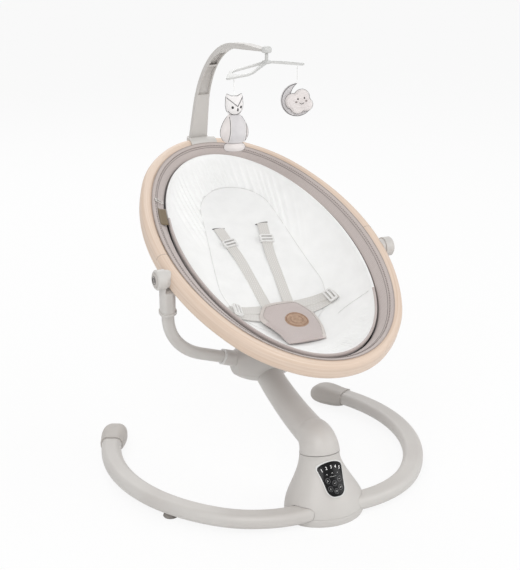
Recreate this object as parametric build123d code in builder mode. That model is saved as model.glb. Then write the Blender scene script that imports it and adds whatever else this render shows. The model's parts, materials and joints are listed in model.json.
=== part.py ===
from build123d import *
import os
from math import asin, cos, hypot, radians, sin

os.makedirs("parts", exist_ok=True)

# Baby swing, in millimetres: +Z up, -Y to the foot end, origin under the base

# Ovals are drawn as eight tangent arcs, which change radius at these turns of the normal
OVAL_END_TURN = 33.0
OVAL_MIDDLE_TURN = 48.0
OVAL_SIDE_TURN = 63.0

# Clearances
SEATED = 0.3            # between pieces that seat on each other
RUNNING = 0.05          # radial, between a turning pin and its bore
NECK_GAP = 1.2          # between the base and the arm that turns on it
LEG_HOLE_GAP = 0.8      # round each leg where it goes into the housing

# Base: a leaning oval cone, closed below by a tray
SWING_LEAN = 10.0       # degrees that the swing axis leans back
BASE_HALF_X = 73.0
BASE_HALF_Y = 58.5
SKIRT_HEIGHT = 28.0
SKIRT_DRAFT = 1.5
SHOULDER_ALONG = 61.0   # along the swing axis
SHOULDER_HALF_X = 55.5
SHOULDER_HALF_Y = 49.0
NECK_ALONG = 111.7
NECK_RADIUS = 36.0
WALL = 3.0
TRAY_TOP = 16.0
TRAY_FLOOR = 3.0

# Swing bearing
SHAFT_RADIUS = 8.0
SHAFT_FOOT = 12.0
SHAFT_TOP = 142.0
BEARING_RADIUS = 16.0
BEARING_HEIGHT = 10.0
LOWER_BEARING_AT = 27.0
UPPER_BEARING_AT = 96.0
BOSS_WALL = 5.0
BOSS_FOOT = 25.0

# Electromagnetic drive in the base
LEVER_REACH = 34.0
LEVER_THICK = 7.0
LEVER_WIDTH = 12.0
LEVER_HUB_RADIUS = 14.0
MAGNET_SIZE = 8.0
MAGNET_GAP = 4.0
COIL_WIDTH = 30.0
COIL_DEPTH = 6.0
COIL_HEIGHT = 24.0

# Control panel, circuit board, loudspeaker and power inlet
PANEL_HALF_WIDTH = 25.0
PANEL_CROWN = 106.0     # top of the arched upper edge
PANEL_SHOULDER = 95.0
PANEL_BOTTOM = 53.0
PANEL_TIP_HALF = 16.5
PANEL_WAIST = 1.5       # how far the sides bow in
PANEL_TIP_RADIUS = 14.0
PANEL_CORNER_RADIUS = 7.0
PANEL_THICK = 1.6
BEZEL_WIDTH = 1.4
BEZEL_THICK = 2.2
BOARD_WIDTH = 40.0
BOARD_HEIGHT = 36.0
BOARD_THICK = 1.6
BOARD_Y = -20.0
BOARD_Z = 74.0
BOARD_LEAN = 25.0
POST_RADIUS = 3.0
SPEAKER_RADIUS = 17.0
SPEAKER_HEIGHT = 11.0
SPEAKER_X = -44.0
SPEAKER_Y = 19.0
INLET_X = 32.0
INLET_Z = 9.5
INLET_RADIUS = 5.5
INLET_BORE = 3.1
INLET_DEPTH = 10.0
INLET_LENGTH = 16.0
INLET_NECK = 6.0

# Legs: flat bent tubes
LEG_WIDTH = 38.0
LEG_HEIGHT = 26.0
LEG_CORNER = 11.0
LEG_Z = 22.0
LEG_Y = -27.5
LEG_INNER_END = 36.0
LEG_BEND_START = 58.0
LEG_FRONT_RADIUS = 195.0
LEG_FRONT_ANGLE = 45.0
LEG_BACK_RADIUS = 315.0
LEG_BACK_ANGLE = 73.0
SHOE_OVERLAP = 20.0
SHOE_LENGTH = 62.0
SHOE_WIDTH = 49.0
SHOE_HEIGHT = 41.0
FOOT_TURN = 17.0        # degrees of the back bend before the foot pad
FOOT_RADIUS = 14.0
FOOT_TOP_RADIUS = 11.0

# Seat ring: an oval wooden band that leans back
RING_TILT = 23.15
RING_Y = 228.4
RING_Z = 429.7
RING_HALF_X = 206.0     # to the middle of the band
RING_HALF_LENGTH = 324.0
RING_BAND = 24.0        # radial
RING_DEPTH = 34.0       # along the ring's normal
RING_ROUND = 10.5

# Recline hubs at the ring's sides
PIVOT_ALONG = -45.0     # from the ring's middle, towards the foot
HUB_RADIUS = 18.0
PIVOT_PLATE_RADIUS = 16.0
PIVOT_PLATE_FACE = 219.6
HOUSING_FACE = 237.0
PIN_RADIUS = 6.0
PIN_LENGTH = 8.2
HUB_INNER_WALL = 8.4
BUTTON_RADIUS = 13.3
BUTTON_HEIGHT = 6.8
BUTTON_PROUD = 2.0
SLEEVE_WIDTH = 27.0
SLEEVE_DEPTH = 25.0
LIP_WIDTH = 31.0
LIP_DEPTH = 29.0
LIP_HEIGHT = 5.0
SLEEVE_TOP = 12.0       # below the pivot, along the yoke
SLEEVE_FOOT = 68.0
SWEEP_TURN = 12.5       # either way, past the seat's recline
SWEEP_GAP = 1.5

# Yoke: two bent tubes from the hub up to the recline hubs
YOKE_LEAN = 15.7
YOKE_TOP_X = 209.5
YOKE_TOP = 50.0
YOKE_CORNER_X = 198.0
YOKE_CORNER = 153.5
YOKE_END_X = 44.0
YOKE_END = 209.0
YOKE_BEND = 112.0
YOKE_WIDTH = 22.0
YOKE_DEPTH = 18.0
YOKE_ROUND = 7.5

# Hub housing at the arm's top, a barrel across the swing
BARREL_Y = 244.0
BARREL_Z = 206.0
BARREL_HALF = 62.0
BARREL_RADIUS = 42.0
BARREL_END_RADIUS = 21.0
BARREL_SPLIT = 11.0     # below the barrel's axis
SOCKET_END_X = 86.0
SOCKET_WIDTH = 28.0
SOCKET_DEPTH = 25.0
SOCKET_ROUND = 10.0
SOCKET_LENGTH = 52.0
SOCKET_RING = 2.5

# Arm: opens like a fan from the base's neck, then runs back and up
ELBOW_TURN = 72.0
ELBOW_REACH = 29.5
ELBOW_HALF_X = 29.0
SPINE_GAP = 1.5
ARM_LENGTH = 197.0
ARM_RISE = 17.0
ARM_END_RADIUS = 24.0

# Toy bar: a channel arch on a bracket at the ring's head
BRACKET_HALF_X = 27.0
BRACKET_WALL = 3.0
SOCKET_BLOCK_X = 44.0
SOCKET_BLOCK_Y = 18.0
BAR_FOOT = (541.0, 574.0)
BAR_CORNER = (490.5, 768.0)
BAR_TIP = (242.6, 788.5)
BAR_BEND = 190.0
BAR_THICK = 10.0
BAR_FOOT_HALF = 18.0
BAR_KNEE_HALF = 8.0
BAR_TIP_HALF = 7.5
BAR_SIDE = 2.4
CHANNEL_DEPTH = 5.5
CHANNEL_LOW = 664.0
CHANNEL_FRONT = 420.0
RIB_Z = 727.0
RIB_THICK = 4.0
TIP_RADIUS = 9.0
TIP_HEIGHT = 11.0
TIP_LIFT = -1.0

# Hanger under the bar's tip, and the toys on it
HANGER_TURN = 24.5
HANGER_Y = 233.0
HANGER_Z = 766.0
HANGER_REACH = 107.0
HANGER_DROOP = 16.0
HANGER_THICK = 3.6
HANGER_STRAND = 4.5
HANGER_HALF_WIDTH = 22.0
HANGER_HUB_RADIUS = 8.0
HUB_THICK = 5.0
LOOP_END = 0.76         # share of the reach that the loop's hole ends at
STEM_RADIUS = 3.0
STEM_GRIP = 8.0
STRING_RADIUS = 0.6
STRING_AT = 0.83        # share of the hanger's reach
STRING_LENGTH = 32.0

OWL_BODY_HALF_X = 24.5
OWL_BODY_HALF_Y = 13.0
OWL_BODY_HEIGHT = 50.0
OWL_HEAD_HALF_X = 15.0
OWL_HEAD_HALF_Y = 11.0
OWL_HEAD_HEIGHT = 31.0
OWL_ROLL_HALF_X = 19.0
OWL_ROLL_HALF_Y = 11.0
OWL_ROLL_HEIGHT = 14.0
OWL_TURN = -14.0
CLOUD_PUFFS = ((-11.0, 0.0, 15.0), (5.0, 6.0, 16.0), (14.0, -7.0, 13.0), (-2.0, -10.0, 14.0))
CLOUD_THICK = 14.0
TOY_TAPER = 24.0
MOON_TURN = -14.0
MOON_BITE_ANGLE = 35.0
MOON_RADIUS = 31.0
MOON_BITE_RADIUS = 24.0
MOON_BITE_SHIFT = 15.0
MOON_THICK = 12.0

# Soft seat: level on the ring's normal, half width, half length and shift of each section
SEAT_LEVELS = (
    (0.0, 163.0, 290.0, 0.0),
    (-20.0, 150.0, 236.0, -30.0),
    (-40.0, 128.0, 174.0, -58.0),
    (-60.0, 98.0, 100.0, -100.0),
    (-75.0, 56.0, 50.0, -115.0),
    (-82.0, 20.0, 16.0, -115.0),
)
LINER_LEVELS = (
    (1.0, 175.0, 302.0, 0.0),
    (-20.0, 168.0, 290.0, -6.0),
    (-50.0, 147.0, 248.0, -30.0),
    (-80.0, 103.0, 170.0, -75.0),
    (-96.0, 60.0, 96.0, -100.0),
    (-102.6, 22.0, 28.0, -110.0),
)
SLING_LEVELS = (
    (6.0, 193.4, 311.4, 0.0),
    (-20.0, 187.0, 304.0, -4.0),
    (-50.0, 164.0, 271.0, -26.0),
    (-80.0, 122.0, 201.0, -70.0),
    (-100.0, 72.0, 114.0, -100.0),
    (-107.0, 30.0, 40.0, -110.0),
)
SLING_THICK = 4.0
SEAT_DEPTH = 82.0
CAVITY_SHARE = 1.1      # of the seat's depth, where the cushion's back lies
CUSHION_HEAD_AT = 155.0
CUSHION_HEAD_RADIUS = 62.0
CUSHION_SEAT_AT = -45.0
CUSHION_SEAT_RADIUS = 102.0

# Harness: x and distance towards the head of the webbing's points
SHOULDER_STRAP = ((45.0, 107.0), (32.0, 34.0), (23.0, -70.0))
WAIST_STRAP = ((126.0, -93.0), (64.0, -103.0), (38.0, -104.0))
WEB_WIDTH = 20.0
WEB_THICK = 1.8
WEB_LIFT = 2.2
ADJUSTER_LENGTH = 17.0
ADJUSTER_WIDTH = 27.0
ADJUSTER_THICK = 4.0
PAD_OUTLINE = ((-82.0, 27.0), (-100.0, 40.0), (-120.0, 49.0), (-160.0, 41.0), (-206.0, 32.0))
PAD_LIFT = 11.5
PAD_THICK = 9.0
BUCKLE_AT = -108.0
BUCKLE_HALF_X = 16.0
BUCKLE_HALF_LENGTH = 12.0
BUCKLE_LIFT = 1.6
BUCKLE_THICK = 5.0


def save(piece, name):
    piece.part.label = name
    export_step(piece.part, f"parts/{name}.step")


def oval(half_x, half_y, shift=0.0, grow=0.0, mode=Mode.ADD):
    end, middle, side = (radians(turn) for turn in (OVAL_END_TURN, OVAL_MIDDLE_TURN, OVAL_SIDE_TURN))
    middle_radius = (half_x * half_y) ** 2 / hypot(half_x * sin(middle), half_y * cos(middle)) ** 3
    rise = half_y - middle_radius * (cos(end) - cos(side))
    reach = half_x - middle_radius * (sin(side) - sin(end))
    scale = (1 - cos(end)) * (1 - sin(side)) - cos(side) * sin(end)
    end_radius = (rise * (1 - sin(side)) - reach * cos(side)) / scale
    side_radius = (reach * (1 - cos(end)) - rise * sin(end)) / scale
    end_y = half_y - end_radius
    middle_x = (end_radius - middle_radius) * sin(end)
    middle_y = end_y + (end_radius - middle_radius) * cos(end)
    middle_arc = OVAL_SIDE_TURN - OVAL_END_TURN
    side_arc = 2 * (90 - OVAL_SIDE_TURN)
    with BuildLine() as outline:
        for face in (1, -1):
            start = 90 * (1 - face)
            CenterArc(
                (face * (half_x - side_radius), shift), side_radius + grow, start - side_arc / 2, side_arc
            )
            CenterArc(
                (face * middle_x, shift + face * middle_y),
                middle_radius + grow,
                start + side_arc / 2,
                middle_arc,
            )
            CenterArc(
                (0, shift + face * end_y), end_radius + grow, start + 90 - OVAL_END_TURN, 2 * OVAL_END_TURN
            )
            CenterArc(
                (-face * middle_x, shift + face * middle_y),
                middle_radius + grow,
                start + 90 + OVAL_END_TURN,
                middle_arc,
            )
    make_face(outline.edges(), mode=mode)


def axis_plane(along):
    lean = radians(SWING_LEAN)
    up = (0, sin(lean), cos(lean))
    return Plane(origin=(0, along * up[1], along * up[2]), x_dir=(1, 0, 0), z_dir=up)


def side_plane(x, y, z, sign):
    return Plane(origin=(sign * x, y, z), x_dir=(0, 1, 0), z_dir=(sign, 0, 0))


TILT = radians(RING_TILT)
seat_plane = Plane(origin=(0, RING_Y, RING_Z), x_dir=(1, 0, 0), z_dir=(0, -sin(TILT), cos(TILT)))
PIVOT_Y = RING_Y + PIVOT_ALONG * cos(TILT)
PIVOT_Z = RING_Z + PIVOT_ALONG * sin(TILT)
LEAN = radians(YOKE_LEAN)
yoke_plane = Plane(origin=(0, PIVOT_Y, PIVOT_Z), x_dir=(1, 0, 0), z_dir=(0, -cos(LEAN), -sin(LEAN)))
SIDES = (("left", -1), ("right", 1))


# Base housing, tray and what they hold
def base_form(extra, top_along):
    with BuildPart() as form:
        with BuildSketch(Plane.XY):
            oval(BASE_HALF_X - SKIRT_DRAFT, BASE_HALF_Y - SKIRT_DRAFT, grow=extra)
        with BuildSketch(Plane.XY.offset(SKIRT_HEIGHT)):
            oval(BASE_HALF_X, BASE_HALF_Y, grow=extra)
        with BuildSketch(axis_plane(SHOULDER_ALONG)):
            oval(SHOULDER_HALF_X, SHOULDER_HALF_Y, grow=extra)
        with BuildSketch(axis_plane(top_along)):
            oval(NECK_RADIUS, NECK_RADIUS, grow=extra)
        loft()
    return form.part


def leg_form(sign, extra):
    with BuildPart() as form:
        with BuildLine() as path:
            run = Line((sign * LEG_INNER_END, LEG_Y, LEG_Z), (sign * LEG_BEND_START, LEG_Y, LEG_Z))
            front = JernArc(run @ 1, run % 1, LEG_FRONT_RADIUS, sign * LEG_FRONT_ANGLE)
            JernArc(front @ 1, front % 1, LEG_BACK_RADIUS, sign * LEG_BACK_ANGLE)
        with BuildSketch(Plane(origin=path.wires()[0] @ 0, x_dir=(0, 1, 0), z_dir=(sign, 0, 0))):
            RectangleRounded(LEG_WIDTH + 2 * extra, LEG_HEIGHT + 2 * extra, LEG_CORNER + extra)
        sweep()
    return form.part, path.wires()[0]


leg_parts = {}
leg_paths = {}
leg_clearances = {}
for side, sign in SIDES:
    leg_parts[side], leg_paths[side] = leg_form(sign, 0)
    leg_clearances[side] = leg_form(sign, SEATED)[0]

base_solid = base_form(0, NECK_ALONG)
base_core = base_form(-WALL, NECK_ALONG - WALL)
board_plane = Plane(
    origin=(0, BOARD_Y, BOARD_Z),
    x_dir=(1, 0, 0),
    z_dir=(0, -cos(radians(BOARD_LEAN)), sin(radians(BOARD_LEAN))),
)

with BuildPart() as board_posts:
    with BuildSketch(board_plane.offset(BOARD_THICK)):
        with GridLocations(BOARD_WIDTH - 4 * POST_RADIUS, BOARD_HEIGHT - 4 * POST_RADIUS, 2, 2):
            Circle(POST_RADIUS)
    extrude(amount=NECK_RADIUS)
    add(base_form(-WALL / 2, NECK_ALONG - WALL / 2), mode=Mode.INTERSECT)

with BuildPart() as base_housing:
    add(base_solid)
    add(base_core, mode=Mode.SUBTRACT)
    with Locations(axis_plane(BOSS_FOOT)):
        Cylinder(
            BEARING_RADIUS + BOSS_WALL,
            NECK_ALONG - WALL / 2 - BOSS_FOOT,
            align=(Align.CENTER, Align.CENTER, Align.MIN),
        )
        Cylinder(
            BEARING_RADIUS + RUNNING,
            NECK_ALONG - WALL - BOSS_FOOT,
            align=(Align.CENTER, Align.CENTER, Align.MIN),
            mode=Mode.SUBTRACT,
        )
        Cylinder(
            SHAFT_RADIUS + 4 * SEATED,
            NECK_ALONG - BOSS_FOOT + WALL,
            align=(Align.CENTER, Align.CENTER, Align.MIN),
            mode=Mode.SUBTRACT,
        )
    split(bisect_by=Plane.XY.offset(TRAY_TOP + SEATED), keep=Keep.TOP)
    add(board_posts.part)
    for side, sign in SIDES:
        add(leg_form(sign, LEG_HOLE_GAP)[0], mode=Mode.SUBTRACT)
save(base_housing, "base_housing")

SADDLE_X = (LEG_INNER_END + LEG_BEND_START) / 2
SADDLE_LENGTH = (LEG_BEND_START - LEG_INNER_END) / 2
LEG_BOTTOM = LEG_Z - LEG_HEIGHT / 2
inlet_plane = Plane(
    origin=(INLET_X, BASE_HALF_Y * 0.86, INLET_Z), x_dir=(1, 0, 0), z_dir=(0, 1, 0)
)

with BuildPart() as bottom_tray:
    add(base_solid)
    add(base_core, mode=Mode.SUBTRACT)
    split(bisect_by=Plane.XY.offset(TRAY_TOP), keep=Keep.BOTTOM)
    with BuildSketch(Plane.XY):
        oval(BASE_HALF_X - WALL, BASE_HALF_Y - WALL)
    extrude(amount=TRAY_FLOOR)
    for side, sign in SIDES:
        with BuildSketch(Plane.XY.offset(TRAY_FLOOR)):
            with Locations((sign * SADDLE_X, LEG_Y)):
                Rectangle(SADDLE_LENGTH, LEG_WIDTH - 2 * LEG_CORNER)
        extrude(amount=LEG_BOTTOM - TRAY_FLOOR)
        add(leg_clearances[side], mode=Mode.SUBTRACT)
        with BuildSketch(Plane.XY.offset(TRAY_FLOOR)):
            with Locations((sign * SADDLE_X, LEG_Y)):
                Rectangle(SADDLE_LENGTH, LEG_WIDTH - 2 * LEG_CORNER)
        extrude(amount=LEG_BOTTOM - TRAY_FLOOR)
    with Locations(inlet_plane):
        Cylinder(INLET_RADIUS + SEATED / 3, 2 * INLET_LENGTH, mode=Mode.SUBTRACT)
save(bottom_tray, "bottom_tray")


# Touch panel: a rounded shield that follows the housing's front
def pick_prism(grow):
    shoulder = (PANEL_HALF_WIDTH + grow, PANEL_SHOULDER + grow)
    foot = (PANEL_TIP_HALF + grow, PANEL_BOTTOM - grow)
    bow = ((shoulder[0] + foot[0]) / 2 - PANEL_WAIST, (shoulder[1] + foot[1]) / 2)
    with BuildPart() as prism:
        with BuildSketch(Plane(origin=(0, 0, 0), x_dir=(1, 0, 0), z_dir=(0, -1, 0))) as pick:
            with BuildLine() as outline:
                upper = ThreePointArc((-shoulder[0], shoulder[1]), (0, PANEL_CROWN + grow), shoulder)
                right = ThreePointArc(upper @ 1, bow, foot)
                lower = Line(right @ 1, (-foot[0], foot[1]))
                ThreePointArc(lower @ 1, (-bow[0], bow[1]), upper @ 0)
            make_face(outline.edges())
            fillet(pick.vertices().group_by(Axis.Y)[-1], PANEL_CORNER_RADIUS + grow)
            fillet(pick.vertices().group_by(Axis.Y)[0], PANEL_TIP_RADIUS + grow)
        extrude(amount=2 * BASE_HALF_Y)
    return prism.part


panel_back = base_form(SEATED, NECK_ALONG)
with BuildPart() as panel_lens:
    add(base_form(PANEL_THICK, NECK_ALONG))
    add(panel_back, mode=Mode.SUBTRACT)
    add(pick_prism(0), mode=Mode.INTERSECT)
save(panel_lens, "panel_lens")

with BuildPart() as panel_bezel:
    add(base_form(BEZEL_THICK, NECK_ALONG))
    add(panel_back, mode=Mode.SUBTRACT)
    add(pick_prism(BEZEL_WIDTH + SEATED), mode=Mode.INTERSECT)
    add(pick_prism(SEATED), mode=Mode.SUBTRACT)
save(panel_bezel, "panel_bezel")

with BuildPart() as circuit_board:
    with BuildSketch(board_plane):
        RectangleRounded(BOARD_WIDTH, BOARD_HEIGHT, 2)
    extrude(amount=BOARD_THICK)
    with BuildSketch(board_plane):
        Rectangle(BOARD_WIDTH / 3, BOARD_WIDTH / 3)
    extrude(amount=-BOARD_THICK)
save(circuit_board, "circuit_board")

with BuildPart() as speaker:
    with Locations((SPEAKER_X, SPEAKER_Y, TRAY_FLOOR)):
        Cylinder(SPEAKER_RADIUS, SPEAKER_HEIGHT / 3, align=(Align.CENTER, Align.CENTER, Align.MIN))
        Cylinder(SPEAKER_RADIUS * 0.6, SPEAKER_HEIGHT, align=(Align.CENTER, Align.CENTER, Align.MIN))
    chamfer(speaker.edges().filter_by(GeomType.CIRCLE).sort_by(Axis.Z)[-1], 1)
save(speaker, "speaker")

with BuildPart() as power_inlet:
    with BuildSketch(inlet_plane.offset(-INLET_NECK)):
        Circle(INLET_RADIUS)
        Circle(INLET_BORE, mode=Mode.SUBTRACT)
    extrude(amount=INLET_NECK + WALL)
    with BuildSketch(inlet_plane.offset(-INLET_NECK)):
        Rectangle(2 * INLET_RADIUS, 2 * INLET_RADIUS)
        Circle(INLET_BORE, mode=Mode.SUBTRACT)
    extrude(amount=INLET_NECK + WALL - INLET_DEPTH)
    with BuildSketch(inlet_plane.offset(-(INLET_DEPTH - WALL))):
        Rectangle(2 * INLET_RADIUS, 2 * INLET_RADIUS)
    extrude(amount=-WALL)
save(power_inlet, "power_inlet")

COIL_Y = LEVER_REACH + MAGNET_SIZE + MAGNET_GAP + TRAY_FLOOR * sin(radians(SWING_LEAN))
with BuildPart() as drive_coil:
    with Locations((0, COIL_Y, TRAY_FLOOR)):
        Box(COIL_WIDTH, COIL_DEPTH, COIL_HEIGHT, align=(Align.CENTER, Align.MIN, Align.MIN))
    fillet(drive_coil.edges().filter_by(Axis.Z), COIL_DEPTH / 4)
save(drive_coil, "drive_coil")

for name, along in (("lower_bearing", LOWER_BEARING_AT), ("upper_bearing", UPPER_BEARING_AT)):
    with BuildPart() as bearing:
        with BuildSketch(axis_plane(along)):
            Circle(BEARING_RADIUS)
            Circle(SHAFT_RADIUS + RUNNING, mode=Mode.SUBTRACT)
        extrude(amount=BEARING_HEIGHT)
        chamfer(bearing.edges().filter_by(GeomType.CIRCLE).group_by(SortBy.RADIUS)[-1], 0.8)
    save(bearing, name)

# Legs, their end shoes and foot pads
for side, sign in SIDES:
    with BuildPart() as leg:
        add(leg_parts[side])
    save(leg, f"leg_{side}")

    path = leg_paths[side]
    end = path @ 1
    heading = path % 1
    shoe_plane = Plane(origin=(end.X, end.Y, 0), x_dir=(heading.Y, -heading.X, 0), z_dir=heading)
    with BuildPart() as leg_shoe:
        for along, width, height, lift in (
            (-SHOE_OVERLAP, LEG_WIDTH + 5, LEG_HEIGHT + 5, LEG_Z),
            (0, SHOE_WIDTH - 2, SHOE_HEIGHT - 4, SHOE_HEIGHT / 2 - 1),
            (SHOE_LENGTH * 0.45, SHOE_WIDTH, SHOE_HEIGHT, SHOE_HEIGHT / 2 - 1),
            (SHOE_LENGTH * 0.85, SHOE_WIDTH * 0.72, SHOE_HEIGHT * 0.78, SHOE_HEIGHT * 0.4),
            (SHOE_LENGTH, SHOE_WIDTH * 0.36, SHOE_HEIGHT * 0.42, SHOE_HEIGHT * 0.34),
        ):
            with BuildSketch(shoe_plane.offset(along)):
                with Locations((0, lift * (1 if shoe_plane.y_dir.Z > 0 else -1))):
                    RectangleRounded(width, height, min(width, height) * 0.42)
        loft()
        split(bisect_by=Plane.XY, keep=Keep.TOP)
        add(leg_clearances[side], mode=Mode.SUBTRACT)
    save(leg_shoe, f"leg_shoe_{side}")

    turn = radians(LEG_FRONT_ANGLE + FOOT_TURN)
    front = radians(LEG_FRONT_ANGLE)
    foot_x = LEG_BEND_START + LEG_FRONT_RADIUS * sin(front) + LEG_BACK_RADIUS * (sin(turn) - sin(front))
    foot_y = LEG_Y + LEG_FRONT_RADIUS * (1 - cos(front)) + LEG_BACK_RADIUS * (cos(front) - cos(turn))
    with BuildPart() as leg_foot:
        with Locations((sign * foot_x, foot_y, 0)):
            Cone(
                FOOT_RADIUS,
                FOOT_TOP_RADIUS,
                LEG_BOTTOM,
                align=(Align.CENTER, Align.CENTER, Align.MIN),
            )
        chamfer(leg_foot.edges().sort_by(Axis.Z)[0], 1.5)
    save(leg_foot, f"leg_foot_{side}")

# Swing shaft and its magnet lever
with BuildPart() as swing_shaft:
    with Locations(axis_plane(SHAFT_FOOT)):
        Cylinder(
            SHAFT_RADIUS, SHAFT_TOP - SHAFT_FOOT, align=(Align.CENTER, Align.CENTER, Align.MIN)
        )
    chamfer(swing_shaft.edges().filter_by(GeomType.CIRCLE), 0.8)
save(swing_shaft, "swing_shaft")

lever_plane = axis_plane(SHAFT_FOOT + 1)
with BuildPart() as magnet_lever:
    with BuildSketch(lever_plane):
        Circle(LEVER_HUB_RADIUS)
        with Locations((0, LEVER_REACH / 2)):
            Rectangle(LEVER_WIDTH, LEVER_REACH)
        Circle(SHAFT_RADIUS + RUNNING, mode=Mode.SUBTRACT)
    extrude(amount=LEVER_THICK)
save(magnet_lever, "magnet_lever")

with BuildPart() as drive_magnet:
    with BuildSketch(lever_plane):
        with Locations((0, LEVER_REACH + MAGNET_SIZE / 2)):
            Rectangle(LEVER_WIDTH, MAGNET_SIZE)
    extrude(amount=LEVER_THICK)
    fillet(drive_magnet.edges().filter_by(Axis(lever_plane.origin, lever_plane.z_dir)), 1.5)
save(drive_magnet, "drive_magnet")


# Yoke tubes
def yoke_form(sign, extra):
    with BuildPart() as form:
        with BuildLine(yoke_plane) as path:
            FilletPolyline(
                (sign * YOKE_TOP_X, -YOKE_TOP),
                (sign * YOKE_CORNER_X, -YOKE_CORNER),
                (sign * YOKE_END_X, -YOKE_END),
                radius=YOKE_BEND,
            )
        start = path.wires()[0]
        with BuildSketch(Plane(origin=start @ 0, x_dir=yoke_plane.z_dir, z_dir=start % 0)):
            RectangleRounded(YOKE_DEPTH + 2 * extra, YOKE_WIDTH + 2 * extra, YOKE_ROUND + extra)
        sweep()
    return form.part, start


yoke_parts = {}
yoke_paths = {}
yoke_clearances = {}
for side, sign in SIDES:
    yoke_parts[side], yoke_paths[side] = yoke_form(sign, 0)
    yoke_clearances[side] = yoke_form(sign, SEATED * 2 / 3)[0]
    with BuildPart() as yoke:
        add(yoke_parts[side])
    save(yoke, f"yoke_{side}")


# Swing arm with the lower half of the hub
def arm_form(extra):
    neck = axis_plane(NECK_ALONG + NECK_GAP)
    spine = neck.origin + neck.y_dir * (NECK_RADIUS + SPINE_GAP)
    with BuildPart() as form:
        for step in range(4):
            share = step / 3
            turn = radians(SWING_LEAN + ELBOW_TURN * share)
            reach = NECK_RADIUS + SPINE_GAP + (ELBOW_REACH - NECK_RADIUS - SPINE_GAP) * share ** 2
            half_x = NECK_RADIUS + (ELBOW_HALF_X - NECK_RADIUS) * share
            centre = spine + Vector(0, -cos(turn), sin(turn)) * reach
            with BuildSketch(Plane(origin=centre, x_dir=(1, 0, 0), z_dir=(0, sin(turn), cos(turn)))):
                Ellipse(half_x + extra, reach - SPINE_GAP + extra)
        loft()
        bend = ARM_LENGTH / radians(ARM_RISE)
        for share in (0, 0.5, 1):
            heading = turn - radians(ARM_RISE) * share
            place = centre + Vector(0, cos(heading) - cos(turn), sin(turn) - sin(heading)) * bend
            half_x = ELBOW_HALF_X + (ARM_END_RADIUS - ELBOW_HALF_X) * share
            half_y = ELBOW_REACH - SPINE_GAP + (ARM_END_RADIUS - ELBOW_REACH + SPINE_GAP) * share
            with BuildSketch(Plane(origin=place, x_dir=(1, 0, 0), z_dir=(0, sin(heading), cos(heading)))):
                Ellipse(half_x + extra, half_y + extra)
        loft()
    return form.part


def barrel_form(extra):
    barrel_plane = Plane(origin=(0, BARREL_Y, BARREL_Z), x_dir=(1, 0, 0), z_dir=(0, -1, 0))
    with BuildPart() as form:
        with BuildSketch(barrel_plane):
            with BuildLine():
                crown = ThreePointArc(
                    (-BARREL_HALF - extra, BARREL_END_RADIUS + extra),
                    (0, BARREL_RADIUS + extra),
                    (BARREL_HALF + extra, BARREL_END_RADIUS + extra),
                )
                Polyline(
                    crown @ 1, (BARREL_HALF + extra, 0), (-BARREL_HALF - extra, 0), crown @ 0
                )
            make_face()
        revolve(axis=Axis((0, BARREL_Y, BARREL_Z), (1, 0, 0)))
    return form.part


hub_up = yoke_plane.y_dir
split_point = Vector(0, BARREL_Y, BARREL_Z) - hub_up * BARREL_SPLIT
arm_solid = arm_form(0)

with BuildPart() as lower_barrel:
    add(barrel_form(0))
    split(bisect_by=Plane(origin=split_point, x_dir=(1, 0, 0), z_dir=hub_up), keep=Keep.BOTTOM)

with BuildPart() as swing_arm:
    add(arm_solid)
    add(lower_barrel.part)
    with Locations(axis_plane(NECK_ALONG)):
        Cylinder(
            SHAFT_RADIUS + RUNNING,
            SHAFT_TOP - NECK_ALONG + SEATED,
            align=(Align.CENTER, Align.CENTER, Align.MIN),
            mode=Mode.SUBTRACT,
        )
    for side, sign in SIDES:
        add(yoke_clearances[side], mode=Mode.SUBTRACT)
save(swing_arm, "swing_arm")

run_length = hypot(YOKE_CORNER_X - YOKE_END_X, YOKE_END - YOKE_CORNER)
run_share = (SOCKET_END_X - YOKE_END_X) / (YOKE_CORNER_X - YOKE_END_X)


def socket_plane(sign):
    x = sign * SOCKET_END_X
    drop = YOKE_END + (YOKE_CORNER - YOKE_END) * run_share
    inward = Vector(-sign * (YOKE_CORNER_X - YOKE_END_X), YOKE_CORNER - YOKE_END) / run_length
    return Plane(
        origin=yoke_plane.from_local_coords(Vector(x, -drop, 0)),
        x_dir=yoke_plane.z_dir,
        z_dir=yoke_plane.x_dir * inward.X + yoke_plane.y_dir * inward.Y,
    )


with BuildPart() as hub_cover:
    add(barrel_form(0))
    for side, sign in SIDES:
        with BuildSketch(socket_plane(sign)):
            RectangleRounded(SOCKET_DEPTH, SOCKET_WIDTH, SOCKET_ROUND)
        extrude(amount=SOCKET_LENGTH)
    upper_plane = Plane(origin=split_point + hub_up * SEATED, x_dir=(1, 0, 0), z_dir=hub_up)
    split(bisect_by=upper_plane, keep=Keep.TOP)
    add(arm_form(SEATED), mode=Mode.SUBTRACT)
    for side, sign in SIDES:
        add(yoke_clearances[side], mode=Mode.SUBTRACT)
save(hub_cover, "hub_cover")

for side, sign in SIDES:
    with BuildPart() as socket_ring:
        with BuildSketch(socket_plane(sign)):
            RectangleRounded(SOCKET_DEPTH, SOCKET_WIDTH, SOCKET_ROUND)
        extrude(amount=-SOCKET_RING)
        add(yoke_clearances[side], mode=Mode.SUBTRACT)
    save(socket_ring, f"socket_ring_{side}")


# Seat ring in two halves
def ring_form(grow):
    half = RING_BAND / 2 + grow
    with BuildPart() as form:
        with BuildSketch(seat_plane.offset(-RING_DEPTH / 2 - grow)):
            oval(RING_HALF_X, RING_HALF_LENGTH, grow=half)
            oval(RING_HALF_X, RING_HALF_LENGTH, grow=-half, mode=Mode.SUBTRACT)
        extrude(amount=RING_DEPTH + 2 * grow)
        fillet(form.edges().filter_by(GeomType.CIRCLE), RING_ROUND + grow)
    return form.part


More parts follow.
